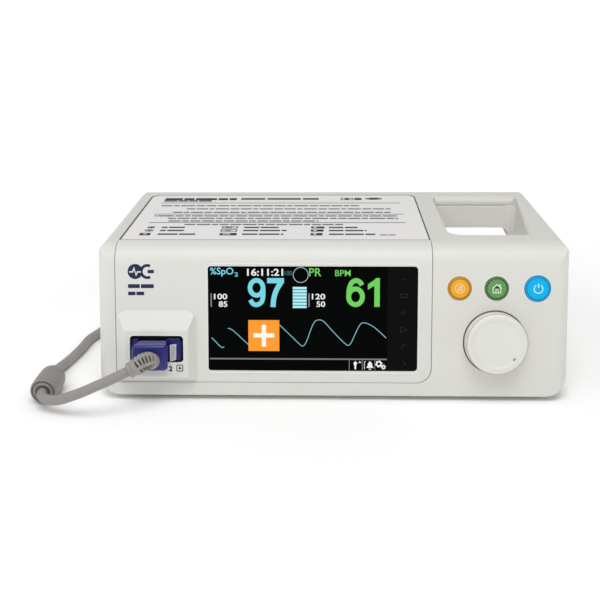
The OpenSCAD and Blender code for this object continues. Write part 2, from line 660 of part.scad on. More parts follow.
module tube(pts, r, n) {
    last = len(pts) - 1;
    rings = [for (i = [0:last]) ring(pts[i], unit(pts[min(i + 1, last)] - pts[max(i - 1, 0)]), r, n)];
    polyhedron(
        points = [for (g = rings) each g],
        faces = concat(
            [[for (k = [n - 1:-1:0]) k]],
            [[for (k = [0:n - 1]) last * n + k]],
            [for (i = [0:last - 1]) for (k = [0:n - 1])
                [i * n + k, i * n + (k + 1) % n, (i + 1) * n + (k + 1) % n]],
            [for (i = [0:last - 1]) for (k = [0:n - 1])
                [i * n + k, (i + 1) * n + (k + 1) % n, (i + 1) * n + k]]
        )
    );
}

module sensor_cable() color([0.58, 0.57, 0.56]) tube(cable_route, cable_d / 2, 10);

module cable_tail() color([0.58, 0.57, 0.56]) tube(tail_route, cable_d / 2, 10);

module ferrite_core() color([0.55, 0.54, 0.53]) translate([-156, 0, ferrite_r]) rotate([-90, 0, 0])
    translate([0, 0, ferrite_y[0]]) rotate_extrude() polygon([
        [2.9, 1.2], [4.6, 1.2], [4.6, 0], [5.8, 0.4], [5.8, 1.6], [6.7, 1.6], [7.3, 2.4],
        [7.3, 23], [6.6, 24.2], [4.6, 24.8], [2.9, 24.8]
    ]);

module cable_coil() color([0.58, 0.57, 0.56]) translate(coil_at) rotate_extrude($fn = 96)
    translate([coil_r - coil_w / 2, 0]) plate(0, 0, coil_w, coil_h, 2.5);

module coil_tie() color([0.16, 0.16, 0.17]) translate(coil_at) rotate(240) translate([coil_r, 4, 0])
    rotate([90, 0, 0]) linear_extrude(8) difference() {
        plate(-coil_w / 2 - 1.4, -1.15, coil_w / 2 + 1.4, coil_h + 1.3, 3.4);
        plate(-coil_w / 2 - 0.5, -0.35, coil_w / 2 + 0.5, coil_h + 0.4, 2.4);
    }

socket_turn = -30;
socket_at = [20.1, 136.1, 0];

module at_socket() translate(socket_at) rotate(socket_turn) children();

module cable_socket() color([0.6, 0.59, 0.58]) at_socket() difference() {
    union() {
        translate([0, 0, 7.6]) rotate([0, 90, 0]) rotate_extrude()
            polygon([[0, 0], [3.6, 0], [4.6, 10], [6.4, 13], [6.4, 16], [0, 16]]);
        along_x(14, 36) plate(-12, 0.2, 12, 15, 3.5);
        along_x(35.9, 42) plate(-13.5, 0.2, 13.5, 15.6, 3);
    }
    translate([-1, 0, 7.6]) rotate([0, 90, 0]) cylinder(h = 9, r = cable_d / 2 + 0.05);
    along_x(31, 50) plate(-10, 3.6, 10, 12.4, 2);
}

module socket_contacts() color([0.83, 0.68, 0.3]) at_socket()
    for (i = [0:4]) for (j = [0, 1]) if (i + j < 5)
        translate([29, -6 + i * 3 + j * 1.5, 6.4 + j * 2.8]) rotate([0, 90, 0]) cylinder(h = 8, r = 0.5);

// ---- power and sound ----

module power_board() color([0.13, 0.34, 0.2]) {
    translate([0, 0, 32]) linear_extrude(1.6) plate(-64, -30, 56, 50, 2);
    for (x = [-40, 0, 40]) for (y = [-26, 46]) translate([x, y, 7.1]) cylinder(h = 24.91, r = 2.2);
    for (x = [20, 36]) translate([x, 30, 33.59]) cylinder(h = 22, r = 6);
    box([24, -20, 33.59], [44, -4, 48]);
}

module heat_sink() color([0.66, 0.67, 0.69]) for (x = [-14:4:6])
    box([x, -16, 33.6], [x + 1.6, 40, 62]);

module transformer() color([0.55, 0.45, 0.3]) {
    box([-54, -10, 33.6], [-24, 24, 56]);
    box([-50, -14, 38], [-28, 28, 52]);
}

module battery_pack() color([0.2, 0.3, 0.5]) box([60, -24, 7.3], [98, 46, 25.5]);

module battery_lead() color([0.6, 0.12, 0.1]) for (y = [0, 5])
    tube([[57.5, y, 14], [52, y, 16], [48, y + 2, 21], [46, y + 4, 27], [45, y + 5, 31.4]], 1.1, 8);

module speaker() color([0.16, 0.16, 0.17]) translate([speaker_at.x, speaker_at.y, 7.3]) rotate_extrude()
    polygon([[0, 2], [12, 3.5], [16, 1.2], [19.5, 0.8], [20, 0], [24, 0], [24, 1.6], [20, 3], [15, 10],
        [15, 15], [0, 15]]);

// ---- choice of what is drawn ----

main_housing();
base_plate();
rear_panel();
handle_grip();
front_bezel();
top_label();
rating_label();
display_window();
display_gasket();
lcd_panel();
front_chassis();
main_board();
sensor_board();
key_board();
encoder_body();
encoder_slider();
dial_shaft();
dial_knob();
alarm_key();
home_key();
power_key();
sensor_port();
port_contacts();
cable_plug();
plug_pad();
plug_strain_relief();
sensor_cable();
ferrite_core();
cable_coil();
coil_tie();
cable_tail();
cable_socket();
socket_contacts();
power_board();
heat_sink();
transformer();
battery_pack();
battery_door();
door_screws();
speaker();
power_inlet();
inlet_pins();
fuse_drawer();
fuses();
data_port();
call_port();
ground_post();
mount_inserts();
feet();
case_screws();
rear_screws();
front_ribbon();
battery_lead();
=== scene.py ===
# Looks of the bedside patient monitor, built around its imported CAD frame.
# Lengths in the tables are millimetres; MM turns them into metres. The front faces -Y.
import math

import bmesh
import bpy
from mathutils import Matrix, Vector


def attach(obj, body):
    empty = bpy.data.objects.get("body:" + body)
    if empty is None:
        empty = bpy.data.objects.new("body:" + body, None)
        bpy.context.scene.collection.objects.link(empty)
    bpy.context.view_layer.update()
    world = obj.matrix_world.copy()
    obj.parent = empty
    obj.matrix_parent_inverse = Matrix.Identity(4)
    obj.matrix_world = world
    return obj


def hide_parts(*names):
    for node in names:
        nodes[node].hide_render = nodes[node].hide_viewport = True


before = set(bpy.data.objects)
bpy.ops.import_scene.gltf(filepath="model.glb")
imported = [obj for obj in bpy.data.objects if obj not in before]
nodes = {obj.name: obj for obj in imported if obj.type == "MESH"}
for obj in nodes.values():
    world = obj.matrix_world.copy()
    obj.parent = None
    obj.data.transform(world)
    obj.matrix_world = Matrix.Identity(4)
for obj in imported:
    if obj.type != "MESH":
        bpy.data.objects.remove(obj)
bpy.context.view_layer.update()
MM = 0.001
LEAN = math.radians(13.32)
FACE_FOOT_Y = -76.0
WINDOW_D = -0.15
KEY_S = 59.9 / math.cos(LEAN)
KEY_X = (68.3, 88.0, 109.8)
DIAL_AT = (87.6, 32.6)

# Face frame to row frame: X right, Y up the slope, Z out of the face.
ON_FACE = Matrix((
    (MM, 0, 0, 0),
    (0, MM * math.sin(LEAN), -MM * math.cos(LEAN), MM * FACE_FOOT_Y),
    (0, MM * math.cos(LEAN), MM * math.sin(LEAN), 0),
    (0, 0, 0, 1),
))
IN_ROW = Matrix.Scale(MM, 4)


# ---- camera ----

def make_camera():
    yaw, pitch, roll = (math.radians(a) for a in (-1.8235, 19.1246, -0.4367))
    ahead = Vector((math.sin(yaw) * math.cos(pitch), math.cos(yaw) * math.cos(pitch), -math.sin(pitch)))
    level = Vector((math.cos(yaw), -math.sin(yaw), 0))
    above = level.cross(ahead)
    right = level * math.cos(roll) + above * math.sin(roll)
    up = above * math.cos(roll) - level * math.sin(roll)
    data = bpy.data.cameras.new("camera")
    data.lens = 57.753
    data.sensor_width = 36.0
    data.clip_start = 0.01
    data.clip_end = 50.0
    cam = bpy.data.objects.new("camera", data)
    bpy.context.scene.collection.objects.link(cam)
    turn = Matrix((right, up, -ahead)).transposed().to_4x4()
    cam.matrix_world = Matrix.Translation((-0.00169, -0.55326, 0.22359)) @ turn
    bpy.context.scene.camera = cam


make_camera()


# ---- materials ----

def node(tree, kind, **values):
    """A new shader node, with its settings and its inputs given by name, _ standing for a space."""
    n = tree.nodes.new(kind)
    for key, value in values.items():
        if hasattr(n, key):
            setattr(n, key, value)
        else:
            n.inputs[key.replace("_", " ")].default_value = value
    return n


def srgb(r, g, b):
    """A linear colour from 0-255 screen values."""
    def line(c):
        c = c / 255
        return c / 12.92 if c <= 0.04045 else ((c + 0.055) / 1.055) ** 2.4
    return (line(r), line(g), line(b), 1.0)


def finish_of(name, colour, rough=0.45, vary=0.05, grain=1400.0, bump=0.15, rough_vary=0.06, **sockets):
    """A moulded or painted finish: the colour drifts a little, and a fine grain sets bump and roughness."""
    m = bpy.data.materials.new(name)
    m.use_nodes = True
    tree = m.node_tree
    bsdf = tree.nodes["Principled BSDF"]
    link = tree.links.new
    coord = node(tree, "ShaderNodeTexCoord")
    drift = node(tree, "ShaderNodeTexNoise", Scale=38.0, Detail=3.0)
    link(coord.outputs["Object"], drift.inputs["Vector"])
    mix = node(tree, "ShaderNodeMix", data_type="RGBA")
    mix.inputs[6].default_value = tuple(c * (1 - vary) for c in colour[:3]) + (1.0,)
    mix.inputs[7].default_value = tuple(min(1.0, c * (1 + vary)) for c in colour[:3]) + (1.0,)
    link(drift.outputs["Fac"], mix.inputs[0])
    link(mix.outputs[2], bsdf.inputs["Base Color"])
    fine = node(tree, "ShaderNodeTexNoise", Scale=grain, Detail=2.0)
    link(coord.outputs["Object"], fine.inputs["Vector"])
    spread = node(tree, "ShaderNodeMapRange",
                  To_Min=max(0.02, rough - rough_vary), To_Max=min(1.0, rough + rough_vary))
    link(fine.outputs["Fac"], spread.inputs["Value"])
    link(spread.outputs["Result"], bsdf.inputs["Roughness"])
    if bump:
        relief = node(tree, "ShaderNodeBump", Strength=bump, Distance=0.00006)
        link(fine.outputs["Fac"], relief.inputs["Height"])
        link(relief.outputs["Normal"], bsdf.inputs["Normal"])
    for key, value in sockets.items():
        bsdf.inputs[key.replace("_", " ")].default_value = value
    return m


def glow(name, colour):
    """A lit part of the display, with the faint unevenness of a backlight."""
    m = finish_of(name, (0.01, 0.01, 0.01, 1), rough=0.35, bump=0, vary=0)
    tree = m.node_tree
    bsdf = tree.nodes["Principled BSDF"]
    coord = node(tree, "ShaderNodeTexCoord")
    noise = node(tree, "ShaderNodeTexNoise", Scale=60.0, Detail=1.0)
    mix = node(tree, "ShaderNodeMix", data_type="RGBA")
    mix.inputs[6].default_value = tuple(c * 0.92 for c in colour[:3]) + (1.0,)
    mix.inputs[7].default_value = colour
    tree.links.new(coord.outputs["Object"], noise.inputs["Vector"])
    tree.links.new(noise.outputs["Fac"], mix.inputs[0])
    tree.links.new(mix.outputs[2], bsdf.inputs["Emission Color"])
    bsdf.inputs["Emission Strength"].default_value = 1.0
    return m


# Screen colours, 0-255, with the settings that finish_of takes
FINISHES = {
    "shell": ((225, 224, 218), dict(rough=0.42, vary=0.012)),
    "bezel": ((225, 225, 220), dict(rough=0.4, vary=0.012)),
    # painted light: the grip's well is case plastic painted lighter than the shell
    "well": ((250, 247, 244), dict(rough=0.5, vary=0.015)),
    "label": ((241, 239, 237), dict(rough=0.5, vary=0.01, bump=0.05)),
    "ink": ((30, 31, 42), dict(rough=0.6, bump=0)),
    "glass": ((4, 5, 5), dict(rough=0.12, vary=0.3, bump=0, rough_vary=0.03, Specular_IOR_Level=0.04)),
    "gasket": ((28, 28, 29), dict(rough=0.7)),
    "knob": ((231, 230, 224), dict(rough=0.36, vary=0.01, bump=0.06)),
    "orange_key": ((244, 172, 20), dict(rough=0.42, vary=0.03)),
    "green_key": ((100, 154, 84), dict(rough=0.42, vary=0.03)),
    "blue_key": ((0, 184, 240), dict(rough=0.42, vary=0.03, Specular_IOR_Level=0.2)),
    "navy": ((24, 27, 112), dict(rough=0.2, vary=0.06, bump=0.08, Specular_IOR_Level=0.55)),
    # painted highlight on the plug's top, a paler copy of the navy
    "navy_painted_highlight": ((92, 90, 138), dict(rough=0.3, vary=0.05, bump=0.06)),
    "socket": ((12, 12, 24), dict(rough=0.5, vary=0.05)),
    # painted highlight on the beads round the keys and the openings
    "lip_painted_highlight": ((243, 242, 237), dict(rough=0.3, vary=0.01, bump=0.04)),
    # painted shade in the gap round the knob: at its foot and in the ring sunk below the face
    "gap": ((92, 89, 84), dict(rough=0.6, bump=0)),
    # painted shade where the knob's side meets its front
    "knob_edge_painted_shade": ((174, 171, 164), dict(rough=0.5, bump=0)),
    # painted shade of the dimple on the knob's face
    "seam": ((150, 148, 143), dict(rough=0.6, bump=0)),
    # painted highlight on the latch's edges
    "pad_rim": ((214, 214, 212), dict(rough=0.4, vary=0.02)),
    # painted shade in the relief's slots and hollow end
    "relief_painted_shade": ((58, 52, 46), dict(rough=0.7, bump=0)),
    "print": ((62, 64, 80), dict(rough=0.6, bump=0)),
    "print_soft": ((112, 113, 126), dict(rough=0.6, bump=0)),
    "navy_print": ((10, 18, 70), dict(rough=0.5, bump=0)),
    # painted shade on the keys' edges, darker copies of the key colours
    "orange_rim": ((150, 74, 6), dict(rough=0.42, vary=0.03, Specular_IOR_Level=0.3)),
    "green_rim": ((10, 52, 18), dict(rough=0.42, vary=0.03, Specular_IOR_Level=0.3)),
    "blue_rim": ((0, 118, 188), dict(rough=0.42, vary=0.03, Specular_IOR_Level=0.3)),
    "orange_mark": ((255, 228, 178), dict(rough=0.5, bump=0)),
    "green_mark": ((224, 250, 218), dict(rough=0.5, bump=0)),
    "blue_mark": ((206, 246, 255), dict(rough=0.5, bump=0)),
    "cable": ((152, 148, 145), dict(rough=0.5, vary=0.05, grain=900.0, bump=0.25)),
    "ferrite": ((144, 140, 138), dict(rough=0.5, vary=0.05, grain=700.0, bump=0.3)),
    "relief": ((156, 151, 147), dict(rough=0.5, vary=0.04)),
    "pad": ((184, 185, 182), dict(rough=0.5, vary=0.02)),
    "rubber": ((44, 44, 46), dict(rough=0.75, vary=0.08, bump=0.3)),
    "black": ((30, 30, 32), dict(rough=0.5, vary=0.06)),
    "steel": ((176, 177, 180), dict(rough=0.3, vary=0.05, Metallic=1.0)),
    "brass": ((206, 178, 104), dict(rough=0.3, vary=0.06, Metallic=1.0)),
    "board": ((34, 92, 52), dict(rough=0.4, vary=0.12)),
    "grey": ((140, 141, 143), dict(rough=0.5)),
    "paper": ((226, 226, 220), dict(rough=0.55, vary=0.02, bump=0.05)),
    "blue_wrap": ((52, 84, 140), dict(rough=0.35, vary=0.05)),
    "red_wire": ((170, 36, 30), dict(rough=0.45)),
    "rear": ((212, 213, 210), dict(rough=0.48, vary=0.015)),
    "glass_tube": ((210, 216, 214), dict(rough=0.15, bump=0)),
    "strip": ((12, 12, 12), dict(rough=0.3, bump=0, Specular_IOR_Level=0.05)),
    "unlit": ((52, 54, 54), dict(rough=0.4, bump=0)),
}
# Lit parts of the display
GLOWS = {
    "cyan_light": (112, 214, 228),
    "cyan_pale": (176, 240, 246),
    "cyan_deep": (20, 88, 94),
    "cyan_dim": (50, 120, 136),
    "pale_light": (168, 190, 196),
    "trace_light": (120, 190, 196),
    "green_light": (104, 208, 84),
    "white_light": (238, 240, 240),
    "grey_light": (116, 116, 118),
    "orange_light": (255, 153, 0),
    "plus_light": (255, 250, 240),
}
MATERIALS = {name: finish_of(name, srgb(*colour), **settings) for name, (colour, settings) in FINISHES.items()}
MATERIALS.update((name, glow(name, srgb(*colour))) for name, colour in GLOWS.items())

NODE_FINISH = {
    # the grip takes the well's painted light
    "main_housing": "shell", "base_plate": "rear", "rear_panel": "rear", "handle_grip": "well",
    "front_bezel": "bezel", "top_label": "label", "rating_label": "paper", "display_window": "glass",
    "display_gasket": "gasket", "lcd_panel": "grey", "front_chassis": "steel", "main_board": "board",
    "sensor_board": "board", "key_board": "board", "encoder_body": "steel", "encoder_slider": "paper",
    "dial_shaft": "steel", "dial_knob": "knob", "alarm_key": "orange_key", "home_key": "green_key",
    "power_key": "blue_key", "sensor_port": "socket", "port_contacts": "brass", "cable_plug": "navy",
    "plug_pad": "pad", "plug_strain_relief": "relief", "sensor_cable": "cable", "ferrite_core": "ferrite",
    "cable_coil": "cable", "coil_tie": "rubber", "cable_tail": "cable", "cable_socket": "relief",
    "socket_contacts": "brass", "power_board": "board", "heat_sink": "steel", "transformer": "brass",
    "battery_pack": "blue_wrap", "battery_door": "rear", "door_screws": "steel", "speaker": "black",
    "power_inlet": "black", "inlet_pins": "steel", "fuse_drawer": "black", "fuses": "glass_tube",
    "data_port": "steel", "call_port": "black", "ground_post": "brass", "mount_inserts": "brass",
    "feet": "rubber", "case_screws": "steel", "rear_screws": "steel", "front_ribbon": "paper",
    "battery_lead": "red_wire",
}

for name, finish in NODE_FINISH.items():
    mesh = nodes[name].data
    if not mesh.materials:
        mesh.materials.append(None)
    for i in range(len(mesh.materials)):
        nodes[name].material_slots[i].link = "OBJECT"
        nodes[name].material_slots[i].material = MATERIALS[finish]


# ---- solid pieces ----

def box_of(x0, y0, x1, y1):
    return [(x0, y0), (x1, y0), (x1, y1), (x0, y1)]


def outline(points, radii, inset=0.0, steps=6):
    """A polygon, counter-clockwise, moved inwards by inset and then rounded at its corners."""
    n = len(points)
    radii = [radii] * n if isinstance(radii, (int, float)) else radii
    sides = []
    for i in range(n):
        a, b = Vector(points[i]), Vector(points[(i + 1) % n])
        along = (b - a).normalized()
        sides.append((a + Vector((-along.y, along.x)) * inset, along))
    out = []
    for i in range(n):
        p, d = sides[i - 1]
        q, e = sides[i]
        cross = d.x * e.y - d.y * e.x
        corner = p + d * (((q.x - p.x) * e.y - (q.y - p.y) * e.x) / cross)
        turn = math.atan2(cross, d.dot(e))
        r = max(0.06, radii[i] - inset) if turn > 0 else radii[i] + inset
        start = corner - d * (r * math.tan(abs(turn) / 2))
        side = Vector((-d.y, d.x)) * (1 if turn > 0 else -1)
        centre = start + side * r
        arm = start - centre
        for k in range(steps + 1):
            a = turn * k / steps
            out.append((centre.x + arm.x * math.cos(a) - arm.y * math.sin(a),
                        centre.y + arm.x * math.sin(a) + arm.y * math.cos(a)))
    return out


def fillet_levels(top, depth, inset, steps=6):
    """Levels (inset, height) of a rounded edge that ends flat at the top."""
    turns = [math.pi / 2 * k / steps for k in range(steps + 1)]
    return [(inset * (1 - math.cos(a)), top - depth + depth * math.sin(a)) for a in turns]


class Solid:
    """Closed skins through rings of points, collected into one piece."""

    def __init__(self, plane=IN_ROW):
        self.mesh = bmesh.new()
        self.plane = plane
        self.names = []

    def skin(self, rings, finish, last=None, closed=False):
        """Joins each ring to the next. last is another finish for the end cap, closed joins end to start."""
        for f in (finish, last or finish):
            if f not in self.names:
                self.names.append(f)
        verts = [[self.mesh.verts.new(self.plane @ Vector(p)) for p in ring] for ring in rings]
        n = len(verts[0])
        pairs = list(zip(verts, verts[1:])) + ([(verts[-1], verts[0])] if closed else [])
        for a, b in pairs:
            for i in range(n):
                f = self.mesh.faces.new((a[i], a[(i + 1) % n], b[(i + 1) % n], b[i]))
                f.material_index = self.names.index(finish)
        if not closed:
            self.mesh.faces.new(verts[0][::-1]).material_index = self.names.index(finish)
            self.mesh.faces.new(verts[-1]).material_index = self.names.index(last or finish)

    def plate(self, points, radii, levels, finish, last=None):
        """A plate whose outline is drawn in by each level's inset."""
        rings = [[(x, y, z) for x, y in outline(points, radii, inset)] for inset, z in levels]
        self.skin(rings, finish, last)

    def turned(self, profile, finish, at=(0, 0), closed=False, n=96):
        """A turned shape through (radius, height) points."""
        rings = [[(at[0] + r * math.cos(2 * math.pi * k / n), at[1] + r * math.sin(2 * math.pi * k / n), z)
                  for k in range(n)] for r, z in profile]
        self.skin(rings, finish, closed=closed)

    def bead(self, points, radii, r, z, finish, out=0.0):
        """A round bead laid along an outline."""
        rings = []
        for k in range(10):
            a = 2 * math.pi * k / 10
            rings.append([(x, y, z + r * math.sin(a))
                          for x, y in outline(points, radii, -out - r * math.cos(a), steps=10)])
        self.skin(rings, finish, closed=True)

    def done(self, name, body, slot, stands_for=(), angle=36.0):
        bmesh.ops.recalc_face_normals(self.mesh, faces=self.mesh.faces)
        data = bpy.data.meshes.new(name)
        self.mesh.to_mesh(data)
        self.mesh.free()
        for finish in self.names:
            data.materials.append(MATERIALS[finish])
        data.shade_smooth()
        data.set_sharp_from_angle(angle=math.radians(angle))
        o = bpy.data.objects.new(name, data)
        bpy.context.scene.collection.objects.link(o)
        if stands_for:
            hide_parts(*stands_for)
        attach(o, body)
        return o


# Where the plug's top gets its painted highlight: how squarely its faces look up the slope, and how far up the slope
# they begin
TOP_SLOPE, TOP_ABOVE = 0.82, 30


def make_plug():
    s = Solid(ON_FACE)
    s.plate(box_of(-105.3, 24.6, -83.7, 33.3), 1.3, [(0.4, -8), (0, -7.6), (0, -0.5)], "navy")
    flange = [(-108.4, 22.5), (-81.2, 22.5), (-81.2, 34.3), (-89.0, 34.3), (-90.2, 32.7), (-103.4, 32.7),
              (-104.8, 34.3), (-108.4, 34.3)]
    s.plate(flange, [1.4, 1.4, 1.7, 0.5, 0.5, 0.5, 0.5, 1.7],
            [(0, -0.6), (0, 3.9), (0.12, 4.25), (0.4, 4.45), (0.75, 4.45), (1.05, 4.1)], "navy")
    neck = [(-105.9, 22.8), (-88.1, 22.8), (-88.1, 31.4), (-89.6, 32.5), (-104.0, 32.5), (-105.9, 31.2)]
    s.plate(neck, 0.9, [(0, 3.9), (0, 6.8)], "navy")
    back, back_r = [(-106.2, 19.4), (-88.1, 19.4), (-88.5, 33.6), (-103.7, 33.6)], [1.1, 1.1, 1.0, 1.2]
    front, front_r = [(-106.9, 18.2), (-87.4, 18.2), (-87.5, 32.5), (-106.4, 32.1)], [2.3, 2.3, 1.8, 2.0]
    rings = [[(x, y, 6.4) for x, y in outline(back, back_r, 0.4)],
             [(x, y, 6.8) for x, y in outline(back, back_r)]]
    for k in (1, 2, 3):
        mixed = [tuple(a + (b - a) * k / 3 for a, b in zip(p, q)) for p, q in zip(back, front)]
        bends = [a + (b - a) * k / 3 for a, b in zip(back_r, front_r)]
        rings.append([(x, y, 6.8 + 1.6 * k) for x, y in outline(mixed, bends)])
    for inset, z in fillet_levels(14.0, 2.3, 2.0, 8)[1:]:
        rings.append([(x, y, z) for x, y in outline(front, front_r, inset)])
    s.skin(rings, "navy")
    # The top is painted paler than the navy, a painted highlight for the light it catches
    s.names.append("navy_painted_highlight")
    to_face = ON_FACE.inverted()
    for face in s.mesh.faces:
        face.normal_update()
        upward = abs((to_face.to_3x3() @ face.normal).normalized().y)
        if upward > TOP_SLOPE and (to_face @ face.calc_center_median()).y > TOP_ABOVE:
            face.material_index = s.names.index("navy_painted_highlight")
    s.done("plug_body", "monitor", "plug_navy", ["cable_plug"])
    s = Solid(ON_FACE)
    corners = [(-87.25, 22.0), (-83.95, 23.1), (-83.8, 31.55), (-87.25, 31.05)]
    # The latch's edges are paler than its top as a painted highlight
    s.plate(corners, 0.35, [(0, 3.8), (0, 5.85), (0.25, 6.1), (0.5, 6.1), (0.72, 5.85)], "pad_rim", "pad")
    s.done("plug_latch", "monitor", "pad_grey", ["plug_pad"])


def smooth_line(points, turns=8):
    """A smooth run through rows of numbers (Catmull-Rom)."""
    out = []
    for i in range(len(points) - 1):
        rows = [points[min(max(j, 0), len(points) - 1)] for j in (i - 1, i, i + 1, i + 2)]
        for k in range(turns):
            t = k / turns
            out.append([0.5 * (2 * b + (c - a) * t + (2 * a - 5 * b + 4 * c - d) * t * t
                               + (3 * b - a - 3 * c + d) * t ** 3) for a, b, c, d in zip(*rows)])
    out.append(list(points[-1]))
    return out


# The strain relief's elbow: x, y, z and radius
ELBOW = [
    (-95.3, -81.0, 25.8, 3.7), (-95.2, -84.5, 26.6, 4.1), (-95.6, -87.2, 27.6, 4.5), (-96.9, -88.9, 28.4, 4.85),
    (-99.3, -90.0, 27.9, 4.9), (-102.2, -90.8, 26.0, 4.55), (-103.9, -91.05, 25.1, 4.35), (-104.6, -91.2, 24.7, 3.95),
    (-105.3, -91.35, 24.35, 4.2), (-106.4, -91.55, 23.8, 4.1),
]
# Its slots: distance along the elbow and half width, then their depth and their pitch and half length in degrees
SLOTS_AT = ((14.0, 0.42), (12.2, 0.40), (10.9, 0.34), (9.8, 0.28), (8.9, 0.24), (8.1, 0.2))
SLOT_DEPTH, SLOT_PITCH, SLOT_HALF = 0.9, 72, 26


def make_relief():
    upward = Vector((-0.344, 0.216, 0.913)).normalized()
    line = smooth_line(ELBOW, 26)
    spots = [Vector(p[:3]) for p in line]
    run = [0.0]
    for a, b in zip(spots, spots[1:]):
        run.append(run[-1] + (b - a).length)
    n = 120
    rings, marks = [], []
    for i, spot in enumerate(spots):
        ahead = (spots[min(i + 1, len(spots) - 1)] - spots[max(i - 1, 0)]).normalized()
        up = (upward - ahead * upward.dot(ahead)).normalized()
        out = up.cross(ahead)
        ring, dark = [], []
        for k in range(n):
            phi = 360 * k / n
            bend = max(0.0, 1 - run[i] / 9) * max(0.0, -math.cos(math.radians(phi)))
            r = line[i][3] * (1 - 0.35 * bend)
            turn = (phi + 42) % SLOT_PITCH
            along = max(min(1.0, (w - abs(run[i] - at)) / 0.12 + 0.5) for at, w in SLOTS_AT)
            across = min(1.0, (SLOT_HALF - abs(turn - SLOT_HALF)) / 5 + 0.5)
            sunk = max(0.0, min(along, across))
            ring.append(spot + (out * math.cos(math.radians(phi)) - up * math.sin(math.radians(phi)))
                        * (r - SLOT_DEPTH * sunk))
            dark.append(sunk > 0.6)
        rings.append(ring)
        marks.append(dark)
    end = (spots[-1] - spots[-2]).normalized()
    last = spots[-1]
    for step, share in ((0.3, 0.94), (0.45, 0.84)):
        rings.append([last + (p - last) * share + end * step for p in rings[len(spots) - 1]])
    rings.append([last + (p - last) * 0.78 - end * 1.2 for p in rings[len(spots) - 1]])
    s = Solid()
    # Painted shade: the hollow end cap and the faces deep in the slots are darker than the sleeve
    s.skin(rings, "relief", "relief_painted_shade")
    s.mesh.faces.ensure_lookup_table()
    for i, dark in enumerate(marks[:-1]):
        for k in range(n):
            if dark[k] and dark[(k + 1) % n] and marks[i + 1][k]:
                s.mesh.faces[i * n + k].material_index = s.names.index("relief_painted_shade")
    s.done("relief_sleeve", "monitor", "cable_jacket", ["plug_strain_relief"], angle=60)


def make_ferrite():
    along = Matrix.Translation((-0.156, 0, 0.0073)) @ Matrix.Rotation(math.radians(-90), 4, "X") @ IN_ROW
    s = Solid(along)
    near = -83.4
    profile = [
        (2.8, near + 6), (2.8, near + 1.6), (3.3, near + 1.3), (3.75, near + 0.7), (4.0, near + 0.15),
        (4.4, near - 0.1), (4.95, near), (5.3, near + 0.35), (5.45, near + 0.9), (5.5, near + 1.7),
        (5.95, near + 1.75), (6.05, near + 1.1), (6.25, near + 0.75), (6.6, near + 0.7), (6.95, near + 1.0),
        (7.15, near + 1.6), (7.25, near + 2.6), (7.28, near + 6), (7.28, near + 16), (7.2, near + 19),
        (6.9, near + 21.3), (6.3, near + 23), (5.4, near + 24.2), (4.4, near + 24.75), (3.4, near + 24.8),
        (2.8, near + 24.2), (2.8, near + 18),
    ]
    s.turned(profile, "ferrite", closed=True)
    s.done("ferrite_shell", "monitor", "ferrite_jacket", ["ferrite_core"], angle=50)


def make_cove():
    """The hollow curve where the grip meets the right side of the well."""
    x0, y0, r, steps = 111, 50, 7, 14
    low, high, top = 48.8, 61.8, 76.9
    turns = [math.radians(90 - 90 * k / steps) for k in range(steps + 1)]
    bend = [(x0 + r * math.cos(a), y0 + r * math.sin(a)) for a in turns]
    plan = [(x0 + r + 0.25, y0 + r + 0.3), (x0, y0 + r + 0.3)] + bend + [(x0 + r + 0.25, y0)]
    drop = [high - (high - low) * (1 - math.cos(math.pi * k / steps)) / 2 for k in range(steps + 1)]
    feet = [low, high] + drop + [low]
    s = Solid()
    # The cove is painted lighter than the shell, as painted light in the well
    s.skin([[(x, y, z) for (x, y), z in zip(plan, feet)], [(x, y, top) for x, y in plan]], "well")
    s.done("well_cove", "monitor", "case_plastic")


make_plug()
make_relief()
make_ferrite()
make_cove()


# ---- cable ----

CABLE_D = 5.5
ROUTE = [
    (-106, -91.5, 24), (-111, -94.5, 22.4), (-117, -97, 20.2), (-123.5, -98, 17.5), (-130, -98, 14.5),
    (-136.5, -97, 11.6), (-142.5, -95.3, 9), (-148, -93.6, 7.7), (-152.5, -91, 7.3), (-155, -87.5, 7.3),
    (-156, -83, 7.3), (-156, -74, 7.3), (-156, -66, 7.3), (-156, -58, 7.3), (-157.4, -50, 6),
    (-158.1, -40, 3.8), (-156.5, -29, 2.8), (-154.5, -17, 2.8), (-153.2, -6, 2.8), (-152.2, 6, 2.8),
    (-148.2, 19, 2.8), (-144.4, 34, 2.8), (-140.6, 52, 2.8), (-135, 66, 2.8), (-127.8, 79.5, 2.8),
    (-120.3, 92.5, 2.8), (-112.8, 105.5, 2.8), (-105.3, 118.5, 3), (-97, 133, 3.5),
]
TAIL = [
    (-17.2, 157.7, 19.2), (-7.4, 152, 18.2), (-2.9, 149.4, 16.4), (2.1, 146.5, 13.6), (8.1, 143, 10.6),
    (14.1, 139.5, 8.5), (20.1, 136.1, 7.6),
]
COIL_AT = (-50, 132.85, 1.2)
LAYER_RADII = [(40.7, 35.1, 29.5, 23.9), (26.7, 32.3, 37.9)] * 2
LAYER_RISE = 4.85
COIL_TURNS = 13.25
START_ANGLE = 150
POINTS_A_TURN = 20
STEP_SHARE = 0.15


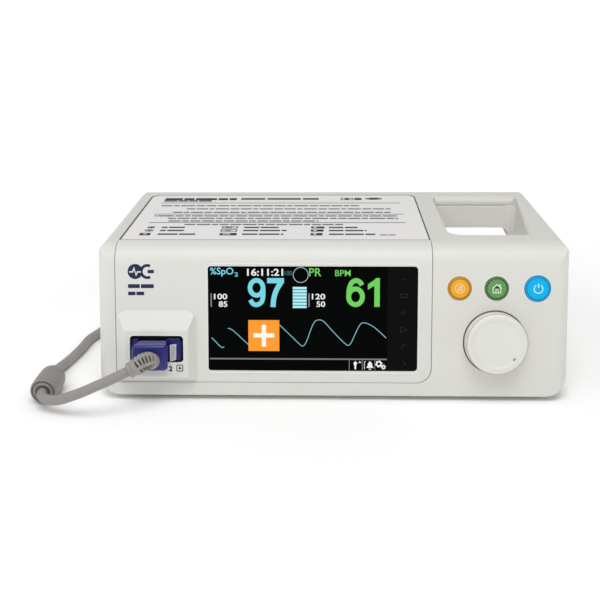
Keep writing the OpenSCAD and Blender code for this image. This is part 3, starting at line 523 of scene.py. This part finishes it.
def coil_points():
    """The winding: each turn lies beside the last, and steps across to the next near its end."""
    turns = [(r, k) for k, layer in enumerate(LAYER_RADII) for r in layer]
    points = []
    for i in range(int(COIL_TURNS * POINTS_A_TURN) + 1):
        t = i / POINTS_A_TURN
        turn = min(int(t), len(turns) - 1)
        r0, k0 = turns[turn]
        r1, k1 = turns[min(turn + 1, len(turns) - 1)]
        f = min(1.0, max(0.0, (t - turn - 1 + STEP_SHARE) / STEP_SHARE))
        f = f * f * (3 - 2 * f)
        hump = 0.65 * k0 * math.sin(math.pi * f)
        z = COIL_AT[2] + CABLE_D / 2 + LAYER_RISE * (k0 + (k1 - k0) * f) + hump
        r = r0 + (r1 - r0) * f
        a = math.radians(START_ANGLE - 360 * t)
        points.append((COIL_AT[0] + r * math.cos(a), COIL_AT[1] + r * math.sin(a), z))
    return points


def make_cord():
    data = bpy.data.curves.new("cord", "CURVE")
    data.dimensions = "3D"
    data.bevel_depth = CABLE_D / 2 * MM
    data.bevel_resolution = 5
    data.resolution_u = 5
    spline = data.splines.new("BEZIER")
    points = ROUTE + coil_points() + TAIL
    spline.bezier_points.add(len(points) - 1)
    for at, p in zip(spline.bezier_points, points):
        at.co = Vector(p) * MM
        at.handle_left_type = "AUTO"
        at.handle_right_type = "AUTO"
    data.materials.append(MATERIALS["cable"])
    cord = bpy.data.objects.new("cord", data)
    bpy.context.scene.collection.objects.link(cord)
    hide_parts("sensor_cable", "cable_coil", "cable_tail")
    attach(cord, "monitor")


make_cord()


# ---- edges of the CAD parts ----

def soften(name, width, zones=(), angle=34.0, segments=3):
    """Rounds a CAD part's sharp edges and smooths the shading over its stepped curves.
    zones gives another width inside boxes of the row frame: (low corner, high corner, width)."""
    o = nodes[name]
    widest = max([width, 0.01] + [z[2] for z in zones])
    group = bpy.data.node_groups.new("edges_" + name, "GeometryNodeTree")
    group.interface.new_socket("Geometry", in_out="INPUT", socket_type="NodeSocketGeometry")
    group.interface.new_socket("Geometry", in_out="OUTPUT", socket_type="NodeSocketGeometry")
    link = group.links.new
    start = group.nodes.new("NodeGroupInput")
    last = start.outputs[0]
    for attribute in ("custom_normal", "sharp_edge", "sharp_face"):
        drop = node(group, "GeometryNodeRemoveAttribute")
        drop.inputs["Name"].default_value = attribute
        link(last, drop.inputs["Geometry"])
        last = drop.outputs["Geometry"]
    smooth = node(group, "GeometryNodeSetShadeSmooth")
    link(last, smooth.inputs["Geometry"])
    turn = node(group, "GeometryNodeInputMeshEdgeAngle")
    sharp = node(group, "ShaderNodeMath", operation="GREATER_THAN")
    sharp.inputs[1].default_value = math.radians(angle)
    link(turn.outputs["Unsigned Angle"], sharp.inputs[0])
    share = node(group, "ShaderNodeValue")
    share.outputs[0].default_value = width / widest
    weight = share.outputs[0]
    for low, high, here in zones:
        place = node(group, "GeometryNodeInputPosition")
        away = node(group, "ShaderNodeVectorMath", operation="SUBTRACT")
        away.inputs[1].default_value = (Vector(low) + Vector(high)) / 2 * MM
        size = node(group, "ShaderNodeVectorMath", operation="ABSOLUTE")
        past = node(group, "ShaderNodeVectorMath", operation="SUBTRACT")
        past.inputs[1].default_value = (Vector(high) - Vector(low)) / 2 * MM
        link(place.outputs[0], away.inputs[0])
        link(away.outputs[0], size.inputs[0])
        link(size.outputs[0], past.inputs[0])
        split = node(group, "ShaderNodeSeparateXYZ")
        link(past.outputs[0], split.inputs[0])
        most = node(group, "ShaderNodeMath", operation="MAXIMUM")
        link(split.outputs[0], most.inputs[0])
        link(split.outputs[1], most.inputs[1])
        most_of_all = node(group, "ShaderNodeMath", operation="MAXIMUM")
        link(most.outputs[0], most_of_all.inputs[0])
        link(split.outputs[2], most_of_all.inputs[1])
        inside = node(group, "ShaderNodeMath", operation="LESS_THAN")
        inside.inputs[1].default_value = 0.0
        link(most_of_all.outputs[0], inside.inputs[0])
        pick = node(group, "ShaderNodeMix", data_type="FLOAT")
        link(inside.outputs[0], pick.inputs[0])
        link(weight, pick.inputs[2])
        pick.inputs[3].default_value = here / widest
        weight = pick.outputs[0]
    final = node(group, "ShaderNodeMath", operation="MULTIPLY")
    link(sharp.outputs[0], final.inputs[0])
    link(weight, final.inputs[1])
    crease = node(group, "GeometryNodeSetShadeSmooth", domain="EDGE")
    crease.inputs["Shade Smooth"].default_value = bool(width)
    link(sharp.outputs[0], crease.inputs["Selection"])
    link(smooth.outputs["Geometry"], crease.inputs["Geometry"])
    store = node(group, "GeometryNodeStoreNamedAttribute", data_type="FLOAT", domain="EDGE")
    store.inputs["Name"].default_value = "bevel_weight_edge"
    link(crease.outputs["Geometry"], store.inputs["Geometry"])
    link(final.outputs[0], store.inputs["Value"])
    end = group.nodes.new("NodeGroupOutput")
    link(store.outputs["Geometry"], end.inputs[0])
    o.modifiers.new("weld", "WELD").merge_threshold = 0.00001
    o.modifiers.new("edges", "NODES").node_group = group
    if not width:
        o.modifiers.new("normals", "WEIGHTED_NORMAL").keep_sharp = True
        return
    bevel = o.modifiers.new("bevel", "BEVEL")
    bevel.width = widest * MM
    bevel.segments = segments
    bevel.limit_method = "WEIGHT"
    bevel.use_clamp_overlap = name == "cable_socket"
    bevel.loop_slide = False
    bevel.harden_normals = True
    o.modifiers.new("normals", "WEIGHTED_NORMAL").keep_sharp = False


WELL_ZONE = ((64, -35, 25), (119, 50, 83), 0.9)
WELL_SIDE = ((109.5, -24, 76), (119, 50, 83), 3.0)
soften("main_housing", 0.22, zones=[WELL_ZONE, WELL_SIDE])
# The other parts and the width of their rounded edges; at 0 the edges stay sharp and only the curves are smoothed
for part, edge in (
        ("front_bezel", 0), ("handle_grip", 0.8), ("top_label", 0.08), ("display_window", 0), ("base_plate", 0.2),
        ("rear_panel", 0.25), ("battery_door", 0.25), ("power_inlet", 0.2), ("fuse_drawer", 0.25),
        ("call_port", 0.2), ("data_port", 0.15), ("cable_socket", 0.5), ("coil_tie", 0.3), ("sensor_port", 0)):
    soften(part, edge)


# ---- flat marks ----

def circle(x, y, r, n=28, r_y=None, start=0.0, end=360.0):
    steps = n if abs(end - start) >= 360 else n + 1
    return [
        (x + r * math.cos(math.radians(start + (end - start) * i / n)),
         y + (r_y or r) * math.sin(math.radians(start + (end - start) * i / n)))
        for i in range(steps)
    ]


class Marks:
    """Flat marks on one plane, collected into one mesh of thin closed slabs."""

    def __init__(self, plane, low, high):
        self.mesh = bmesh.new()
        self.plane = plane
        self.low = low
        self.high = high
        self.names = []

    def index(self, finish):
        if finish not in self.names:
            self.names.append(finish)
        return self.names.index(finish)

    def slab(self, polygons, finish, lift=0.0):
        """Polygons that share corners become one slab."""
        index = self.index(finish)
        corner = {}
        edges = {}
        for poly in polygons:
            keys = [(round(x, 4), round(y, 4)) for x, y in poly]
            keys = [k for i, k in enumerate(keys) if k != keys[i - 1]]
            if len(keys) < 3:
                continue
            area = sum(a[0] * b[1] - b[0] * a[1] for a, b in zip(keys, keys[1:] + keys[:1]))
            if abs(area) < 1e-7:
                continue
            if area < 0:
                keys.reverse()
            for k in keys:
                if k not in corner:
                    corner[k] = [
                        self.mesh.verts.new(self.plane @ Vector((k[0], k[1], z)))
                        for z in (self.low, self.high + lift)
                    ]
            faces = [self.mesh.faces.new([corner[k][1] for k in keys]),
                     self.mesh.faces.new([corner[k][0] for k in reversed(keys)])]
            for f in faces:
                f.material_index = index
            for a, b in zip(keys, keys[1:] + keys[:1]):
                edges[(a, b)] = edges.get((a, b), 0) + 1
        for a, b in edges:
            if (b, a) not in edges:
                side = self.mesh.faces.new([corner[a][0], corner[b][0], corner[b][1], corner[a][1]])
                side.material_index = index

    def bar(self, x0, y0, x1, y1, finish, lift=0.0):
        self.slab([[(x0, y0), (x1, y0), (x1, y1), (x0, y1)]], finish, lift)

    def area(self, points, finish, lift=0.0):
        self.slab([points], finish, lift)

    def stroke(self, points, width, finish, closed=False, lift=0.0):
        n = len(points)
        left, right = [], []
        for i, p in enumerate(points):
            before = points[i - 1] if i or closed else p
            after = points[(i + 1) % n] if i < n - 1 or closed else p
            a = Vector((p[0] - before[0], p[1] - before[1]))
            b = Vector((after[0] - p[0], after[1] - p[1]))
            a = a.normalized() if a.length > 1e-9 else b.normalized()
            b = b.normalized() if b.length > 1e-9 else a
            mid = (a + b).normalized()
            side = Vector((-mid.y, mid.x)) * (width / 2 / max(0.5, mid.dot(a)))
            left.append((p[0] + side.x, p[1] + side.y))
            right.append((p[0] - side.x, p[1] - side.y))
        last = n if closed else n - 1
        self.slab([[right[i], right[(i + 1) % n], left[(i + 1) % n], left[i]] for i in range(last)],
                  finish, lift)

    def text(self, body, x, y, height, finish, bold=0.0, width=None, lift=0.0):
        """Generic figures or units with their lower left corner at x, y, this tall and this wide."""
        data = bpy.data.curves.new("mark_text", "FONT")
        data.body = body
        data.resolution_u = 4
        data.offset = bold
        o = bpy.data.objects.new("mark_text", data)
        flat = bpy.data.meshes.new_from_object(o)
        xs = [v.co.x for v in flat.vertices]
        ys = [v.co.y for v in flat.vertices]
        tall = height / (max(ys) - min(ys))
        wide = width / (max(xs) - min(xs)) if width else tall
        spots = [(x + (v.co.x - min(xs)) * wide, y + (v.co.y - min(ys)) * tall) for v in flat.vertices]
        self.slab([[spots[i] for i in p.vertices] for p in flat.polygons], finish, lift)
        bpy.data.objects.remove(o)
        bpy.data.meshes.remove(flat)
        bpy.data.curves.remove(data)

    def done(self, name, body, slot):
        mesh = bpy.data.meshes.new(name)
        bmesh.ops.recalc_face_normals(self.mesh, faces=self.mesh.faces)
        self.mesh.to_mesh(mesh)
        self.mesh.free()
        for finish in self.names:
            mesh.materials.append(MATERIALS[finish])
        o = bpy.data.objects.new(name, mesh)
        bpy.context.scene.collection.objects.link(o)
        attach(o, body)
        return o


# ---- the display's picture ----

def make_picture():
    m = Marks(ON_FACE, WINDOW_D - 0.02, WINDOW_D + 0.03)
    m.bar(29.8, 17.0, 45.6, 72.8, "strip")
    # Top row: units, clock, scale, pulse ring
    m.text("%SpO", -65.8, 67.6, 4.9, "cyan_light", bold=0.012, width=12.6)
    m.text("2", -52.6, 67.7, 2.3, "cyan_light", bold=0.012, width=1.9)
    m.text("16:11:21", -45.8, 68.1, 3.9, "white_light", bold=0.022, width=19.4)
    m.text("100", -25.5, 68.4, 2.4, "cyan_dim", width=3.9)
    m.stroke(circle(-16.9, 68.6, 4.05, 40), 0.35, "pale_light", closed=True)
    m.text("PR", -12.4, 67.9, 4.4, "green_light", bold=0.012, width=6.6)
    m.text("BPM", 1.6, 68.0, 3.3, "green_light", bold=0.008, width=8.3)
    # Large readings: 97 and 61
    m.stroke(circle(-40.75, 61.6, 3.5, 40, r_y=4.05), 2.5, "cyan_light", closed=True)
    nine = smooth_line([(-37.25, 62.4), (-37.2, 60.0), (-37.3, 56.6), (-38.2, 53.8), (-40.5, 52.45),
                        (-42.7, 53.0), (-44.1, 55.1)])
    m.stroke(nine, 2.5, "cyan_light")
    m.bar(-35.0, 64.1, -25.9, 66.9, "cyan_light")
    seven = smooth_line([(-27.5, 64.6), (-30.0, 60.4), (-31.4, 56.0), (-31.9, 51.2)])
    m.stroke(seven, 2.75, "cyan_light")
    m.stroke(circle(12.6, 56.9, 3.7, 40, r_y=4.25), 2.6, "green_light", closed=True)
    six = smooth_line([(16.0, 63.1), (14.9, 64.8), (12.7, 65.7), (10.4, 64.3), (9.2, 61.0), (8.9, 57.0)])
    m.stroke(six, 2.6, "green_light")
    m.area([(22.7, 51.5), (25.6, 51.5), (25.6, 67.0), (23.6, 67.0), (22.7, 65.6)], "green_light")
    m.area([(19.2, 60.7), (22.7, 62.9), (23.6, 67.0), (22.6, 66.0), (19.2, 63.6)], "green_light", lift=0.001)
    # Alarm limits beside each reading
    for x, s, upper, lower in ((-64.0, 51.2, "100", "85"), (-11.1, 51.3, "120", "50")):
        m.bar(x - 1.75, s, x - 0.95, s + 7.4, "grey_light")
        m.text(upper, x + 0.2, s + 4.1, 3.1, "white_light", bold=0.018, width=7.2)
        m.text(lower, x + 2.7, s, 3.1, "white_light", bold=0.018, width=4.7)
    # Pulse bar
    m.bar(-21.2, 50.7, -13.7, 62.2, "cyan_deep", lift=-0.008)
    for i in range(7):
        m.bar(-21.2, 50.7 + i * 1.7, -13.7, 51.95 + i * 1.7, "cyan_pale")
    # Pulse wave
    waves = [
        [(-65.3, 34.4), (-63.2, 32.3), (-61.2, 30.1), (-59.5, 29.0), (-58.6, 29.4)],
        [(-56.4, 39.6), (-54.4, 38.9), (-51.6, 36.6), (-48.2, 33.4), (-45.0, 30.4)],
        [(-28.5, 41.6), (-24.9, 38.2), (-20.8, 34.2), (-17.6, 31.1), (-15.9, 30.0), (-14.4, 31.3),
         (-12.9, 34.8), (-11.0, 40.2), (-9.4, 43.2), (-7.9, 44.2), (-5.6, 44.1), (-3.6, 42.6),
         (-0.2, 38.8), (3.6, 34.8), (7.0, 31.5), (8.8, 30.5), (10.3, 31.8), (12.4, 36.4),
         (14.3, 40.4), (16.2, 42.7), (19.2, 42.3), (22.4, 40.6), (25.8, 37.8), (29.2, 34.6)],
    ]
    for wave in waves:
        m.stroke(smooth_line(wave, 5), 0.42, "trace_light")
    # Orange tile with a plus
    m.bar(-45.3, 27.2, -28.5, 44.1, "orange_light", lift=0.004)
    m.bar(-42.5, 34.6, -31.2, 36.9, "plus_light", lift=0.012)
    m.bar(-38.0, 29.7, -35.7, 41.5, "plus_light", lift=0.014)
    # Line and icons of the bottom row
    m.bar(-66.4, 22.5, 29.7, 23.3, "grey_light")
    for x in (9.4, 16.4, 23.2):
        m.bar(x - 0.2, 16.8, x + 0.2, 22.4, "grey_light")
    m.area([(12.3, 17.4), (13.1, 17.4), (13.2, 19.6), (13.8, 21.0), (13.0, 21.4), (12.7, 22.1),
            (12.3, 21.4), (11.5, 21.0), (12.1, 19.6)], "white_light")
    m.area([(14.4, 20.9), (15.9, 20.9), (15.1, 22.0)], "white_light")
    bell = [(18.6, 18.2), (19.3, 19.2), (19.5, 20.7), (20.6, 21.9), (21.7, 20.7), (21.9, 19.2), (22.6, 18.2)]
    m.area(bell, "white_light")
    m.stroke(circle(20.6, 17.9, 0.6, 8, start=180, end=360), 0.3, "white_light")
    m.stroke([(17.6, 17.4), (17.6, 21.6), (18.3, 21.6)], 0.3, "white_light")
    for x, s, r in ((25.4, 20.4, 1.25), (27.9, 18.7, 0.75)):
        m.stroke(circle(x, s, r, 16), 0.55 * r + 0.15, "white_light", closed=True)
        for k in range(6):
            a = math.radians(60 * k + 15)
            near = (x + r * math.cos(a), s + r * math.sin(a))
            far = (x + (r + 0.75) * math.cos(a), s + (r + 0.75) * math.sin(a))
            m.stroke([near, far], 0.5 * r, "white_light", lift=0.001)
    # Unlit symbols down the right edge
    m.stroke(smooth_line([(37.2, 65.4), (38.2, 66.6), (39.0, 65.8), (39.9, 66.9)]), 0.3, "unlit")
    m.stroke([(37.0, 56.6), (40.2, 56.6), (40.2, 58.4), (37.0, 58.4)], 0.35, "unlit", closed=True)
    m.stroke([(37.1, 47.4), (38.4, 49.2), (38.9, 47.6), (40.3, 48.9)], 0.3, "unlit")
    m.stroke([(38.2, 40.4), (36.9, 40.4), (36.9, 37.8), (38.2, 37.8)], 0.3, "unlit")
    m.area(circle(39.6, 39.1, 0.85, 14), "unlit")
    m.stroke([(37.6, 29.0), (38.5, 31.2), (39.1, 29.8), (40.4, 31.6)], 0.3, "unlit")
    m.stroke([(38.0, 22.0), (39.9, 19.9)], 0.8, "unlit")
    m.done("display_picture", "monitor", "display_glass")


make_picture()


# ---- knob, keys and rims ----

KNOB_D = 33
ROUND_STEPS = 128  # round the knob and the ring in its gap


def make_knob():
    """The dial's turned cap, with painted shade: dark at its foot and mid-toned where its side meets its front."""
    s = Solid(ON_FACE)
    R = KNOB_D / 2
    core = [(3.02, 5.7), (3.02, 1.2), (5.2, 1.2), (5.2, 5.8), (R - 2.2, 5.8), (R - 2.2, -0.2), (R - 0.3, -0.3)]
    wall = [(R, 0.1), (R - 0.01, 2.2), (R - 0.02, 3.0), (R - 0.1, 6.4), (R - 0.16, 8.05), (R - 0.5, 8.25)]
    front = [(R - 0.62, 8.65), (R - 0.95, 9.05), (R - 1.4, 9.3), (R - 2.1, 9.48), (R - 2.6, 9.44),
             (R - 2.75, 9.26), (R - 2.9, 9.42), (R - 3.7, 9.3), (R - 4.0, 9.02), (R - 4.4, 8.84),
             (R - 5.4, 8.7), (9.0, 8.52), (5.0, 8.42), (0.5, 8.38), (0.5, 5.7)]
    s.turned(core + wall + front, "knob", at=DIAL_AT, closed=True, n=ROUND_STEPS)
    s.mesh.faces.ensure_lookup_table()
    # Painted shade: the band at the knob's foot is dark, and the band where its side meets its front is mid-toned
    for band, finish in ((len(core) - 1, "gap"), (len(core) + len(wall) - 2, "knob_edge_painted_shade")):
        s.names.append(finish)
        for face in s.mesh.faces[band * ROUND_STEPS:(band + 1) * ROUND_STEPS]:
            face.material_index = s.names.index(finish)
    s.turned([(0.55, 7.9), (0.55, 8.385), (0.02, 8.385)], "knob", at=DIAL_AT, n=24)
    s.done("knob_turned", "dial", "dial_white", ["dial_knob"], angle=40)
    # A flat grey dot on the knob's face: painted shade of a finger dimple
    m = Marks(ON_FACE, 8.3, 9.02)
    a = math.radians(-42)
    m.area(circle(DIAL_AT[0] + 12.4 * math.cos(a), DIAL_AT[1] + 12.4 * math.sin(a), 0.95, 20), "seam")
    m.done("knob_dot", "dial", "dial_white")
    # A dark ring sunk in the face round the knob: painted shade in the gap
    ring = Solid(ON_FACE)
    ring.turned([(R + 0.08, -1.3), (R + 0.52, -1.3), (R + 0.52, -0.35), (R + 0.08, -0.35)], "gap", at=DIAL_AT,
                closed=True, n=ROUND_STEPS)
    ring.done("knob_gap_shade", "monitor", "case_plastic")


def make_key_marks():
    for i, (name, tint, d) in enumerate((("alarm_key", "orange", 12.2), ("home_key", "green", 12.3),
                                         ("power_key", "blue", 13.5))):
        r = d / 2
        x = KEY_X[i]
        # The key's edge ring, darker than its top as painted shade
        s = Solid(ON_FACE)
        s.turned([(r - 1.0, 0.9), (r - 0.95, 1.03), (r - 0.55, 0.86), (r - 0.12, 0.42), (r + 0.02, 0.2),
                  (r + 0.02, -0.6), (r - 0.3, -0.6)], tint + "_rim", at=(x, KEY_S), closed=True)
        s.done(name + "_rim", name, "key_" + tint)
        # A bead round the key, paler than the face as a painted highlight
        s = Solid(ON_FACE)
        s.turned([(r + 0.34, -0.3), (r + 0.36, 0.12), (r + 0.55, 0.26), (r + 0.78, 0.18), (r + 0.9, 0.0),
                  (r + 0.9, -0.3)], "lip_painted_highlight", at=(x, KEY_S), closed=True)
        s.done(name + "_highlight_lip", "monitor", "case_plastic")
        m = Marks(ON_FACE, 1.05, 1.2)
        ink = tint + "_mark"
        if tint == "orange":
            m.stroke(circle(x, KEY_S, 2.55, 40), 0.34, ink, closed=True)
            bell = [(x - 1.5, KEY_S - 0.85), (x - 1.05, KEY_S - 0.25), (x - 0.9, KEY_S + 0.75), (x, KEY_S + 1.5),
                    (x + 0.9, KEY_S + 0.75), (x + 1.05, KEY_S - 0.25), (x + 1.5, KEY_S - 0.85)]
            m.stroke(bell, 0.3, ink, closed=True)
            m.stroke([(x - 1.45, KEY_S - 1.75), (x + 1.55, KEY_S + 1.65)], 0.32, ink, lift=0.01)
            m.stroke([(x - 0.4, KEY_S - 1.3), (x + 0.4, KEY_S - 1.3)], 0.36, ink)
        elif tint == "green":
            m.stroke([(x - 2.5, KEY_S + 0.1), (x, KEY_S + 2.25), (x + 2.5, KEY_S + 0.1)], 0.5, ink)
            m.stroke([(x - 2.05, KEY_S + 0.35), (x - 2.05, KEY_S - 2.3), (x + 2.05, KEY_S - 2.3),
                      (x + 2.05, KEY_S + 0.35)], 0.42, ink)
            m.stroke([(x - 0.6, KEY_S - 2.3), (x - 0.6, KEY_S - 0.6), (x + 0.6, KEY_S - 0.6),
                      (x + 0.6, KEY_S - 2.3)], 0.36, ink, lift=0.01)
            m.bar(x + 1.2, KEY_S + 1.25, x + 1.95, KEY_S + 2.35, ink)
            # The roof is printed in the dark green of the rim's painted shade
            m.area([(x - 1.4, KEY_S + 0.35), (x + 1.4, KEY_S + 0.35), (x, KEY_S + 1.5)], "green_rim")
        else:
            m.stroke(circle(x + 0.2, KEY_S - 0.1, 2.3, 40, start=122, end=418), 0.5, ink)
            m.stroke([(x + 0.2, KEY_S + 0.5), (x + 0.2, KEY_S + 2.8)], 0.5, ink)
        m.done(name + "_icon", name, "key_" + tint)


WINDOW = box_of(-67.15, 15.45, 46.65, 74.3)
PORT = box_of(-108.75, 21.65, -79.85, 36.15)


def make_rims():
    # Beads round the display window and the port, paler than the face as a painted highlight
    s = Solid(ON_FACE)
    s.bead(WINDOW, 2.4, 0.3, -0.02, "lip_painted_highlight", out=0.2)
    s.bead(PORT, 2.0, 0.3, 5.95, "lip_painted_highlight", out=0.22)
    s.done("opening_rims", "monitor", "panel_plastic")


make_knob()
make_key_marks()
make_rims()


# ---- printed marks ----

def words(m, x, y, end, tall, finish, sizes, gap=0.9):
    """A line of unreadable print: bars as long as words."""
    i = 0
    while x < end - 0.6:
        stop = min(end, x + sizes[i % len(sizes)])
        m.bar(x, y - tall / 2, stop, y + tall / 2, finish)
        x = stop + gap
        i += 1


def make_label_print():
    m = Marks(IN_ROW, 81.98, 82.03)
    edge = outline([(-117, -44.3), (53.3, -44.3), (53.3, 64.5), (-117, 64.5)], [0.6, 0.6, 6.0, 6.0])
    m.stroke(edge[7:], 0.62, "ink")
    m.stroke([edge[-1], edge[0]], 0.62, "ink")
    m.stroke(edge[:8], 0.45, "print_soft", lift=0.005)
    words(m, -107.4, 53.2, -60.5, 4.6, "ink", (11.2, 6.4, 13.5, 6.0, 4.6), gap=1.1)
    words(m, -58.4, 53.8, -8.5, 3.4, "ink", (15.5, 21.5, 10.5), gap=1.4)
    words(m, -107.4, 48.2, -77.0, 2.6, "print", (8.2, 6.1, 5.4))
    m.stroke([(6.2, 51.4), (13.2, 51.4), (13.2, 55.8), (6.2, 55.8)], 0.6, "print", closed=True)
    m.bar(8.4, 51.6, 11.0, 55.6, "print")
    m.bar(14.4, 51.2, 19.0, 56.0, "print")
    m.stroke(circle(26.8, 54.4, 4.9, 32, r_y=2.1), 0.8, "print", closed=True)
    m.bar(23.8, 53.6, 29.8, 55.2, "print")
    for y, x0, x1 in ((42.6, -108.4, 43.3), (13.6, -108.0, 43.2), (-6.6, -107.6, 43.0)):
        m.bar(x0, y - 0.3, x1, y + 0.3, "print_soft")
    rows = (
        (35.2, -107.0, 17.0), (26.9, -90.0, 37.0), (18.2, -97.2, 35.5), (9.2, -103.7, 39.6), (3.3, -98.0, 39.1),
        (-2.9, -96.6, -8.0), (-11.2, -86.0, 6.3),
    )
    sizes = ((7, 3.4, 9, 5.2, 6.4), (5.4, 7, 3, 8.2), (6, 3.2, 7.6, 4.4, 9), (8.4, 5, 3.2, 6.6),
             (5, 7.2, 3.6, 9.4, 4.2), (7, 4, 6.2), (6.4, 8, 3.6, 5.2))
    for (y, x0, x1), run in zip(rows, sizes):
        words(m, x0, y, x1, 1.8, "print_soft", run)
    for x in (-106.9, -105.0, -103.4, -100.8, -98.6):
        m.bar(x, 8.4, x + 1.2, 10.0, "print")
    # Three columns of symbols with their captions
    for k, y in enumerate((-17.8, -24.6, -32.6)):
        tall = 3.4 + 0.5 * k
        if k < 2:
            m.stroke(circle(-104.3, y, 1.9 + 0.2 * k, 18, r_y=tall / 2.2), 0.6, "print", closed=True)
            m.bar(-105.0, y - 0.4, -103.4, y + 0.4, "print")
        else:
            m.bar(-108.2, y - tall / 2, -102.2, y + tall / 2, "ink")
            m.area(circle(-105.2, y, 1.4, 16, r_y=0.8), "label", lift=0.01)
        words(m, -98.0, y, (-84.8, -84.0, -76.0)[k], 2.2, "print", (3.2, 9.4) if k < 2 else (11.2, 9))
        if k < 2:
            m.stroke(box_of(-63.0, y - tall / 2, -54.4, y + tall / 2), 0.55, "print", closed=True)
            m.bar(-61.6 + 0.8 * k, y - 0.3, -57.4, y + 0.3, "print")
        else:
            m.bar(-63.0, y - tall / 2, -53.6, y + tall / 2, "ink")
            m.bar(-61.4, y - tall / 5, -57.0, y + tall / 5, "label", lift=0.01)
        words(m, -50.5, y, (-30.7, -25.9, -27.3)[k], 2.2, "print", (8.6, 11.5))
        m.bar(-12.0, y - tall / 2, -4.4 - 0.5 * k, y + tall / 2, "ink")
        m.bar(-10.6, y - tall / 4, -8.8, y + tall / 4, "label", lift=0.01)
        words(m, -1.8, y, (14.6, 19.5, 24.0)[k], 2.2, "print", (8.2, 10.4))
    words(m, 26.6, -33.9, 35.2, 1.2, "print_soft", (3.8, 4.2), gap=0.6)
    m.done("label_print", "monitor", "label_film")


def make_face_print():
    m = Marks(ON_FACE, -0.02, 0.05)
    # A plain pulse mark: a disc with a wave cut through it
    m.area(circle(-106.4, 70.3, 4.1, 36), "navy_print")
    m.stroke([(-109.6, 70.1), (-107.8, 70.1), (-107.0, 72.1), (-105.9, 68.4), (-105.2, 70.1), (-103.2, 70.1)],
             0.75, "bezel", lift=0.02)
    m.stroke(circle(-99.8, 70.3, 3.3, 30, start=62, end=298), 1.5, "navy_print")
    m.bar(-99.6, 69.4, -96.2, 71.2, "navy_print")
    words(m, -110.4, 62.4, -96.4, 2.1, "navy_print", (6.4, 7.0), gap=0.6)
    words(m, -110.4, 58.4, -101.6, 1.9, "navy_print", (4.0, 4.2), gap=0.5)
    m.done("face_print", "monitor", "label_film")
    m = Marks(ON_FACE, 5.97, 6.04)
    m.text("SpO", -98.0, 17.0, 3.0, "ink", bold=0.03, width=8.6)
    m.text("2", -87.9, 16.9, 2.9, "ink", bold=0.04, width=2.1)
    m.stroke(outline(box_of(-83.5, 17.0, -80.3, 20.3), 0.4, steps=3), 0.48, "ink", closed=True)
    m.area([(-81.9, 17.6), (-81.2, 18.5), (-81.9, 19.8), (-82.6, 18.5)], "ink")
    m.done("port_print", "monitor", "label_film")


make_label_print()
make_face_print()


# ---- stage ----

# Name, place and size in metres, power in watts
LAMPS = (
    ("key", (-0.9, -0.9, 1.5), 1.3, 4.5),
    ("front_top", (0.1, -0.7, 1.8), 1.2, 14.8),
    ("left_top", (-1.4, 0.1, 1.1), 1.0, 2.8),
)
LIT_POINT = Vector((0, 0, 0.04))


def make_stage():
    mesh = bpy.data.meshes.new("floor")
    b = bmesh.new()
    bmesh.ops.create_grid(b, x_segments=1, y_segments=1, size=40.0)
    b.to_mesh(mesh)
    b.free()
    floor = bpy.data.objects.new("floor", mesh)
    bpy.context.scene.collection.objects.link(floor)
    paint = finish_of("floor_paint", (0.96, 0.96, 0.96, 1), rough=0.8, vary=0.003, bump=0)
    tree = paint.node_tree
    shine = tree.nodes["Principled BSDF"]
    shine.inputs["Emission Color"].default_value = (1, 1, 1, 1)
    # A glowing table: painted light that grows away from the middle, with painted shade round the object, and held
    # back close to what stands on it as a painted contact shadow
    shade = node(tree, "ShaderNodeAmbientOcclusion", samples=12, Distance=0.012)
    lit = node(tree, "ShaderNodeMapRange", From_Min=0.45, From_Max=0.95)
    tree.links.new(shade.outputs["AO"], lit.inputs["Value"])
    place = node(tree, "ShaderNodeTexCoord")
    reach = node(tree, "ShaderNodeVectorMath", operation="LENGTH")
    tree.links.new(place.outputs["Object"], reach.inputs[0])
    grow = node(tree, "ShaderNodeMapRange", From_Min=0.2, From_Max=1.3, To_Min=0.15, To_Max=1.0)
    tree.links.new(reach.outputs["Value"], grow.inputs["Value"])
    both = node(tree, "ShaderNodeMath", operation="MULTIPLY")
    tree.links.new(lit.outputs["Result"], both.inputs[0])
    tree.links.new(grow.outputs["Result"], both.inputs[1])
    tree.links.new(both.outputs[0], shine.inputs["Emission Strength"])
    mesh.materials.append(paint)
    world = bpy.data.worlds.new("studio")
    bpy.context.scene.world = world
    world.use_nodes = True
    sky = world.node_tree.nodes["Background"]
    sky.inputs["Color"].default_value = (1.0, 1.0, 1.0, 1.0)
    sky.inputs["Strength"].default_value = 0.42
    for name, at, size, power in LAMPS:
        data = bpy.data.lights.new(name, "AREA")
        data.size = size
        data.energy = power
        lamp = bpy.data.objects.new(name, data)
        bpy.context.scene.collection.objects.link(lamp)
        aim = LIT_POINT - Vector(at)
        lamp.matrix_world = Matrix.Translation(at) @ aim.to_track_quat("-Z", "Y").to_matrix().to_4x4()
    bpy.context.scene.view_settings.view_transform = "Standard"


make_stage()
